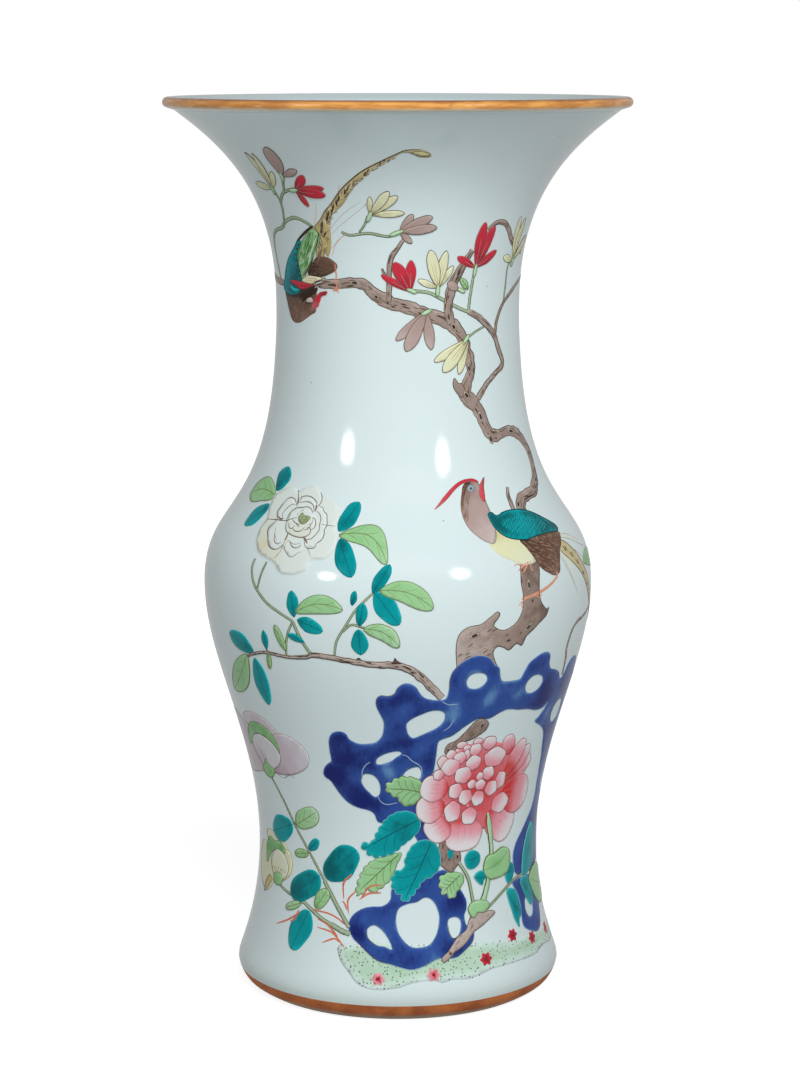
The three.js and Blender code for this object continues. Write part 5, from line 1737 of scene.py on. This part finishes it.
def paint_lower_bird():
    """The crested bird on the stump, looking up."""
    bird = "lower_bird"
    sepia = ("sepia", 0.26, 0.7)
    strokes(bird, "sepia", 0.26, 0.3, [(60, 232), (68, 229), (76, 224.5), (85, 221)], [(56, 227), (59, 218.5), (62, 211), (65.5, 203)],
            [(60, 230), (68, 224), (76, 217)])
    strokes(bird, "lemon", 0.7, 0.2, [(58, 228), (63, 217), (68, 206.5)], [(57, 228), (60.5, 219), (64.5, 209)],
            [(60, 232.6), (66, 230.6), (72, 227)])
    strokes(bird, "coral_line", 0.3, 0.2, [(61, 233.4), (68, 231.4), (75, 227)], [(57.4, 226), (60.6, 216), (64, 206)])
    area(bird, "green", [(73, 216.5), (77, 221), (84, 221), (92, 217), (96, 212), (88, 211), (79, 213.5)], 0.75,
         edge=("olive_line", 0.25, 0.6))
    tail = [
        (57, 231), (62, 230), (66, 226), (70, 220), (74, 212.5), (78, 204), (82, 197.5), (86, 190), (88, 183), (84, 188),
        (80, 194), (76, 201), (72, 208), (68, 214), (63, 220), (59, 225),
    ]
    area(bird, "ochre", tail, 0.3, edge=("sepia", 0.26, 0.7))
    for spot, size in (((61.6, 226), 2.2), ((64.6, 222.6), 2), ((67.4, 218.4), 1.8), ((70.8, 212), 1.6), ((74.4, 205.6), 1.3)):
        for side in (-0.8, 0.8):
            bar = place(spot, [(side - size * 0.25, size * 0.6), (side + size * 0.25, -size * 0.6)])
            stroke(bird, "sepia", bar, 0.8, 1.0, (0.5, 0.5))
    stroke(bird, "sepia", [(60, 228), (68, 217), (76, 203), (84, 189)], 0.3, 0.7)
    belly = [(29, 236.4), (31, 241), (33.5, 241), (36, 238), (40, 236), (43.4, 234.5), (44.4, 229), (45, 224), (41, 223),
             (37, 224.6), (33, 227.6), (30.4, 231)]
    area(bird, "lemon", belly, fade((37, 220), (36, 244)), edge=("lemon", 0.3, 0.0))
    rump = [
        (41.5, 234), (46, 235.5), (52, 235.5), (58, 235.2), (62.6, 233.5), (60.5, 229), (58, 226), (56, 221), (55, 217),
        (52.6, 215.6), (50, 217), (46.5, 220.6), (44.5, 226), (43, 230),
    ]
    area(bird, "plumage", rump, fade((62, 212), (42, 244)), edge=("sepia", 0.24, 0.6))
    hatching(bird, "plumage", rump, -24, 3, 260, 0.4, 0.0, 12)
    hatching(bird, "sepia", rump, -24, 3, 160, 0.3, 0.8, 12)
    neck = [
        (31.5, 261.6), (28.5, 261.8), (26, 260.4), (24.3, 256), (23, 251), (22.8, 246), (24, 241), (26.5, 237), (29, 234.5),
        (31.2, 233.6), (32.8, 236), (33.7, 240), (34.2, 245), (33.7, 250), (33.4, 254), (33, 258),
    ]
    area(bird, "mauve", neck, fade((37, 236), (21, 262)), edge=("sepia", 0.2, 0.3))
    area(bird, "plumage", [(30, 261.8), (26, 260.4), (24.2, 256), (23, 251), (23, 248), (23.8, 250), (24.8, 254), (26.6, 258), (29, 260.8)],
         fade((27, 250), (25, 264)))
    crown = [(30, 261.8), (26, 260.4), (24.2, 256), (23, 251), (22.8, 246), (23.6, 243), (25, 246), (26.4, 252), (28.6, 257)]
    hatching(bird, "plumage", crown, 78, 3, 200, 0.26, 0.2, 10)
    wing = [
        (32.6, 246.2), (34.4, 246.8), (36, 245.2), (40, 246.6), (46, 246.8), (52, 245), (58, 241), (63, 236.6), (62, 234.2),
        (57, 234.6), (50, 234.4), (44, 233.6), (39, 234.6), (35.8, 236.6), (33.6, 240), (32.8, 243),
    ]
    area(bird, "turquoise", wing, lambda spots: 1 - 0.65 * glow((45, 239), 13)(spots), edge=("turquoise_line", 0.34, 1.0))
    feather_rows(bird, "turquoise_line", wing, -8, 2.3, 0.7, 0.36)
    feather_rows(bird, "turquoise", [(37, 243), (46, 245), (53, 243), (57, 237), (46, 235.4), (38, 237.6)], -8, 1.7, 0.0, 0.34)
    hatching(bird, "turquoise_line", [(36, 243), (42, 246), (54, 244), (62, 236), (50, 239), (40, 240)], -8, 4, 50, 0.26, 0.8)
    area(bird, "iron_red", [(13, 249.8), (15.4, 251.6), (18.5, 254.4), (22, 258.2), (25.5, 260.6), (29, 261.3), (32, 260.4),
         (32, 261.3), (29.5, 262.5), (25, 261.9), (21, 259.3), (17, 255.1), (14.4, 251.6)], fade((14, 240), (30, 290)),
         edge=("rose_line", 0.2, 0.5), fine=0.6)
    area(bird, "iron_red", [(31.4, 254.6), (32.1, 257.4), (33.2, 260), (35.4, 262.6), (34.3, 258.4), (33.9, 256), (33.3, 252.4),
         (32.3, 251.8)], 0.3, edge=("sepia", 0.18, 0.5), fine=0.6)
    stroke(bird, "sepia", [(33.4, 256.4), (34.2, 259.6), (35.6, 262.6)], 0.45, 0.7)
    eye = [(26.8, 258), (28, 259.6), (29.9, 259.3), (29.9, 257.4), (28.2, 256.4)]
    area(bird, "cobalt_line", eye, 0.1, edge=("sepia", 0.2, 0.4), fine=0.5)
    dot(bird, "sage", (28.4, 258.1), 1.0, 0.4, 10)
    dot(bird, "sepia", (28.4, 258.1), 0.55, 0.9, 9)
    for width, *paths in (
        (1.5, [(53.5, 217), (52.4, 214), (48, 210.8), (42, 208.4), (37.6, 207.4)]),
        (0.8, [(42, 223.8), (39.4, 222.4), (37.4, 220.6)], [(41.5, 223.5), (40, 220.8), (38.6, 219.4)]),
        (0.55, [(40, 208), (37.4, 205.8), (36.4, 204.4)], [(39, 207.6), (37.6, 205), (38, 202.6)],
         [(41.5, 208.3), (43.6, 207.6), (45.4, 206)], [(45, 209.6), (45.4, 208), (44.6, 206.6)],
         [(43, 224.4), (42.4, 221.4), (43, 219.6)], [(39.5, 222.5), (37.4, 223.6), (36.2, 222.8)]),
    ):
        strokes(bird, "coral_line", width, 0.12, *paths, taper=(0.8, 0.5))


def paint_butterfly(centre, size, lean, enamels):
    """A butterfly seen from above: two fore wings, two hind wings, a body and its feelers."""
    turn = math.radians(lean)
    ahead = np.array([math.cos(turn), math.sin(turn)]) * size
    aside = np.array([-ahead[1], ahead[0]])
    fore, hind = enamels
    for side in (-1, 1):
        for enamel_name, reach, width in ((hind, -0.55 * ahead + 0.75 * side * aside, 0.8), (fore, 0.4 * ahead + side * aside, 0.75)):
            root, tip = place(centre, [(0, 0), reach])
            petal("butterfly", enamel_name, root, tip, width * size, "sepia", (0.9, 0.3, 1.2), 3, (0.24, 0.8))
            dot("butterfly", "sepia", place(centre, [reach * 0.72])[0], 0.09 * size, 0.9)
        stroke("butterfly", "sepia", place(centre, [ahead * 0.4, ahead * 0.8 + 0.1 * side * aside, ahead + 0.3 * side * aside]), 0.3)
    stroke("butterfly", "sepia", place(centre, [-0.6 * ahead, (0, 0), 0.45 * ahead]), 0.16 * size, 1.0, (0.3, 0.6))


def paint_back():
    """The unseen side: a spray of magnolia, two butterflies, a small spray and grass, all sparsely set."""
    for part in (
        [(140, 214, 5), (149, 224, 4.6), (158, 231, 4.4), (168, 234, 4), (178, 240, 3.6), (186, 249, 3), (190, 259, 2)],
        [(158, 231, 3), (163, 222, 2.6), (171, 215, 2.2), (181, 212, 1.6)],
        [(149, 224, 2.6), (152, 236, 2.4), (153, 248, 2), (157, 258, 1.4)],
        [(140, 214, 4.6), (137, 206, 4), (138, 199, 3)],
    ):
        limb("back_branch", part)
    for centre, lean in (((150, 225), 35), ((172, 237), 30)):
        knot("back_branch", centre, 1.4, 0.7, lean)
    stems("back_spray", (1.1, (178, 240), (184, 238), (190, 233)), (1.0, (168, 234), (170, 242), (174, 247)),
          (1.3, (196, 34), (192, 60), (196, 84), (205, 104)), (1.1, (192, 62), (184, 74), (176, 82)))
    for enamel_name, base, listed in (
        ("lemon", (190, 259), (((184, 270), 5), ((191, 274), 6), ((197, 269), 5))),
        ("iron_red", (157, 258), (((150, 267), 5), ((156, 273), 6), ((164, 268), 5))),
        ("mauve", (181, 212), (((189, 217), 5), ((193, 211), 6), ((190, 205), 5))),
        ("iron_red", (205, 104), (((197, 114), 6), ((204, 120), 7), ((213, 115), 6), ((216, 107), 5))),
        ("lemon", (176, 82), (((168, 88), 5), ((172, 94), 6), ((180, 92), 5))),
    ):
        for tip, width in listed:
            petal("back_spray", enamel_name, base, tip, width, "sepia", (0.8, 0.3, 1.0), 2, (0.24, 0.6), (0.95, 0.62))
    leaves(
        "back_spray",
        turquoise=(((190, 233), (200, 240), 7), ((174, 247), (180, 256), 6), ((196, 84), (184, 92), 9), ((193, 66), (206, 72), 9)),
        green=(((190, 233), (201, 228), 7), ((174, 247), (167, 254), 5), ((200, 94), (214, 90), 8), ((192, 54), (180, 58), 8)),
    )
    strokes("grass", "coral_line", 0.8, 0.5, [(190, 34), (185, 44), (180, 50)], [(193, 34), (191, 46), (187, 55)],
            [(199, 34), (204, 44), (210, 50)], taper=(0.15, 0.5))
    bank = [(168, 30), (178, 25), (190, 24), (204, 25), (216, 30), (210, 35), (196, 37), (182, 36), (172, 34)]
    outline = area("ground", "moss", bank, 0.5, fine=1.2)
    for _ in range(150):
        spot = (BRUSH.uniform(168, 216), BRUSH.uniform(24, 37))
        if within(np.array([spot]), [outline])[0]:
            dot("ground", "olive_line", spot, BRUSH.uniform(0.26, 0.42), BRUSH.uniform(0.3, 0.9), 6)
    paint_butterfly((170, 330), 11, 60, ("lemon", "iron_red"))
    paint_butterfly((212, 366), 8, 130, ("mauve", "turquoise"))


# The studio


def softbox(name, location, width, height, power, glossy):
    """An area lamp that faces the vase's middle. A lamp that isn't glossy leaves no highlight."""
    data = bpy.data.lights.new(name, "AREA")
    data.shape = "ELLIPSE"
    data.size = width
    data.size_y = height
    data.energy = power
    lamp = bpy.data.objects.new(name, data)
    lamp.location = location
    lamp.rotation_euler = (Vector((0, 0, 0.24)) - Vector(location)).to_track_quat("-Z", "Y").to_euler()
    lamp.visible_glossy = glossy
    lamp.visible_camera = False
    bpy.context.scene.collection.objects.link(lamp)
    return lamp


def studio_floor():
    """A plain white floor, which keeps the vase's shadow and is white to the camera elsewhere."""
    size = 6.0
    mesh = bpy.data.meshes.new("floor_sheet")
    mesh.from_pydata([(-size, -size, 0), (size, -size, 0), (size, size, 0), (-size, size, 0)], [], [(0, 1, 2, 3)])
    material, tree, shader = new_material("floor_paper")
    fibre = noise(tree, 40.0, detail=3.0)
    tree.links.new(blend(tree, fibre, colour(192, 192, 192), colour(187, 188, 189)), shader.inputs["Base Color"])
    shader.inputs["Roughness"].default_value = 0.9
    shader.inputs["Specular IOR Level"].default_value = 0.1
    shader.inputs["Emission Color"].default_value = (1, 1, 1, 1)
    mesh.materials.append(material)
    sheet = bpy.data.objects.new("floor_sheet", mesh)
    bpy.context.scene.collection.objects.link(sheet)
    sheet.visible_glossy = False
    path = tree.nodes.new("ShaderNodeLightPath")
    seen = maths(tree, "MAXIMUM", path.outputs["Is Camera Ray"], path.outputs["Is Glossy Ray"])
    seen = maths(tree, "MAXIMUM", seen, path.outputs["Is Transmission Ray"])
    away = ramp(tree, distance_from_axis(tree), *FLOOR_REACH)
    near, far = FLOOR_GLOW
    glow = maths(tree, "MULTIPLY_ADD", away, far - near, near)
    tree.links.new(maths(tree, "MULTIPLY", seen, glow), shader.inputs["Emission Strength"])
    return sheet


def studio_world():
    """White to the camera, dimmer in reflections, and a dim fill on the vase itself."""
    world = bpy.data.worlds.new("studio")
    world.use_nodes = True
    bpy.context.scene.world = world
    tree = world.node_tree
    background = tree.nodes["Background"]
    background.inputs["Color"].default_value = (1, 1, 1, 1)
    path = tree.nodes.new("ShaderNodeLightPath")
    seen = maths(tree, "MAXIMUM", path.outputs["Is Camera Ray"], path.outputs["Is Transmission Ray"])
    mirrored = maths(tree, "MULTIPLY", path.outputs["Is Glossy Ray"], WORLD_SHEEN)
    seen = maths(tree, "MAXIMUM", seen, mirrored)
    fill = maths(tree, "MULTIPLY_ADD", seen, 1.0 - WORLD_FILL, WORLD_FILL)
    tree.links.new(fill, background.inputs["Strength"])


def studio():
    """A pale floor, a broad soft light from the front, two small softboxes, and the camera."""
    studio_floor()
    studio_world()
    softbox("front_light", (0.45, -2.1, 1.9), 2.2, 1.0, FRONT_POWER, False)
    softbox("left_softbox", (-1.02, -1.1, 0.78), 0.3, 0.28, SIDE_POWER, True)
    softbox("right_softbox", (0.87, -1.1, 0.85), 0.3, 0.36, SIDE_POWER, True)
    camera_data = bpy.data.cameras.new("camera")
    camera_data.sensor_width = SENSOR_SIZE
    camera_data.lens = CAMERA_LENS
    camera = bpy.data.objects.new("camera", camera_data)
    camera.location = Vector((CAMERA_SIDESTEP, -CAMERA_DISTANCE, CAMERA_HEIGHT)) * MM
    camera.rotation_euler = (math.radians(90 - CAMERA_PITCH), 0, 0)
    bpy.context.scene.collection.objects.link(camera)
    bpy.context.scene.camera = camera
    bpy.context.scene.view_settings.view_transform = "Standard"


glazed_body()
lip()
foot()
paint_ground()
paint_stump()
paint_rock()
paint_peony_bark()
paint_pink_peony()
paint_white_peony()
paint_lower_left()
paint_branches()
paint_magnolias()
paint_upper_bird()
paint_lower_bird()
paint_back()
for piece in PAINTED.values():
    piece.make()
studio()
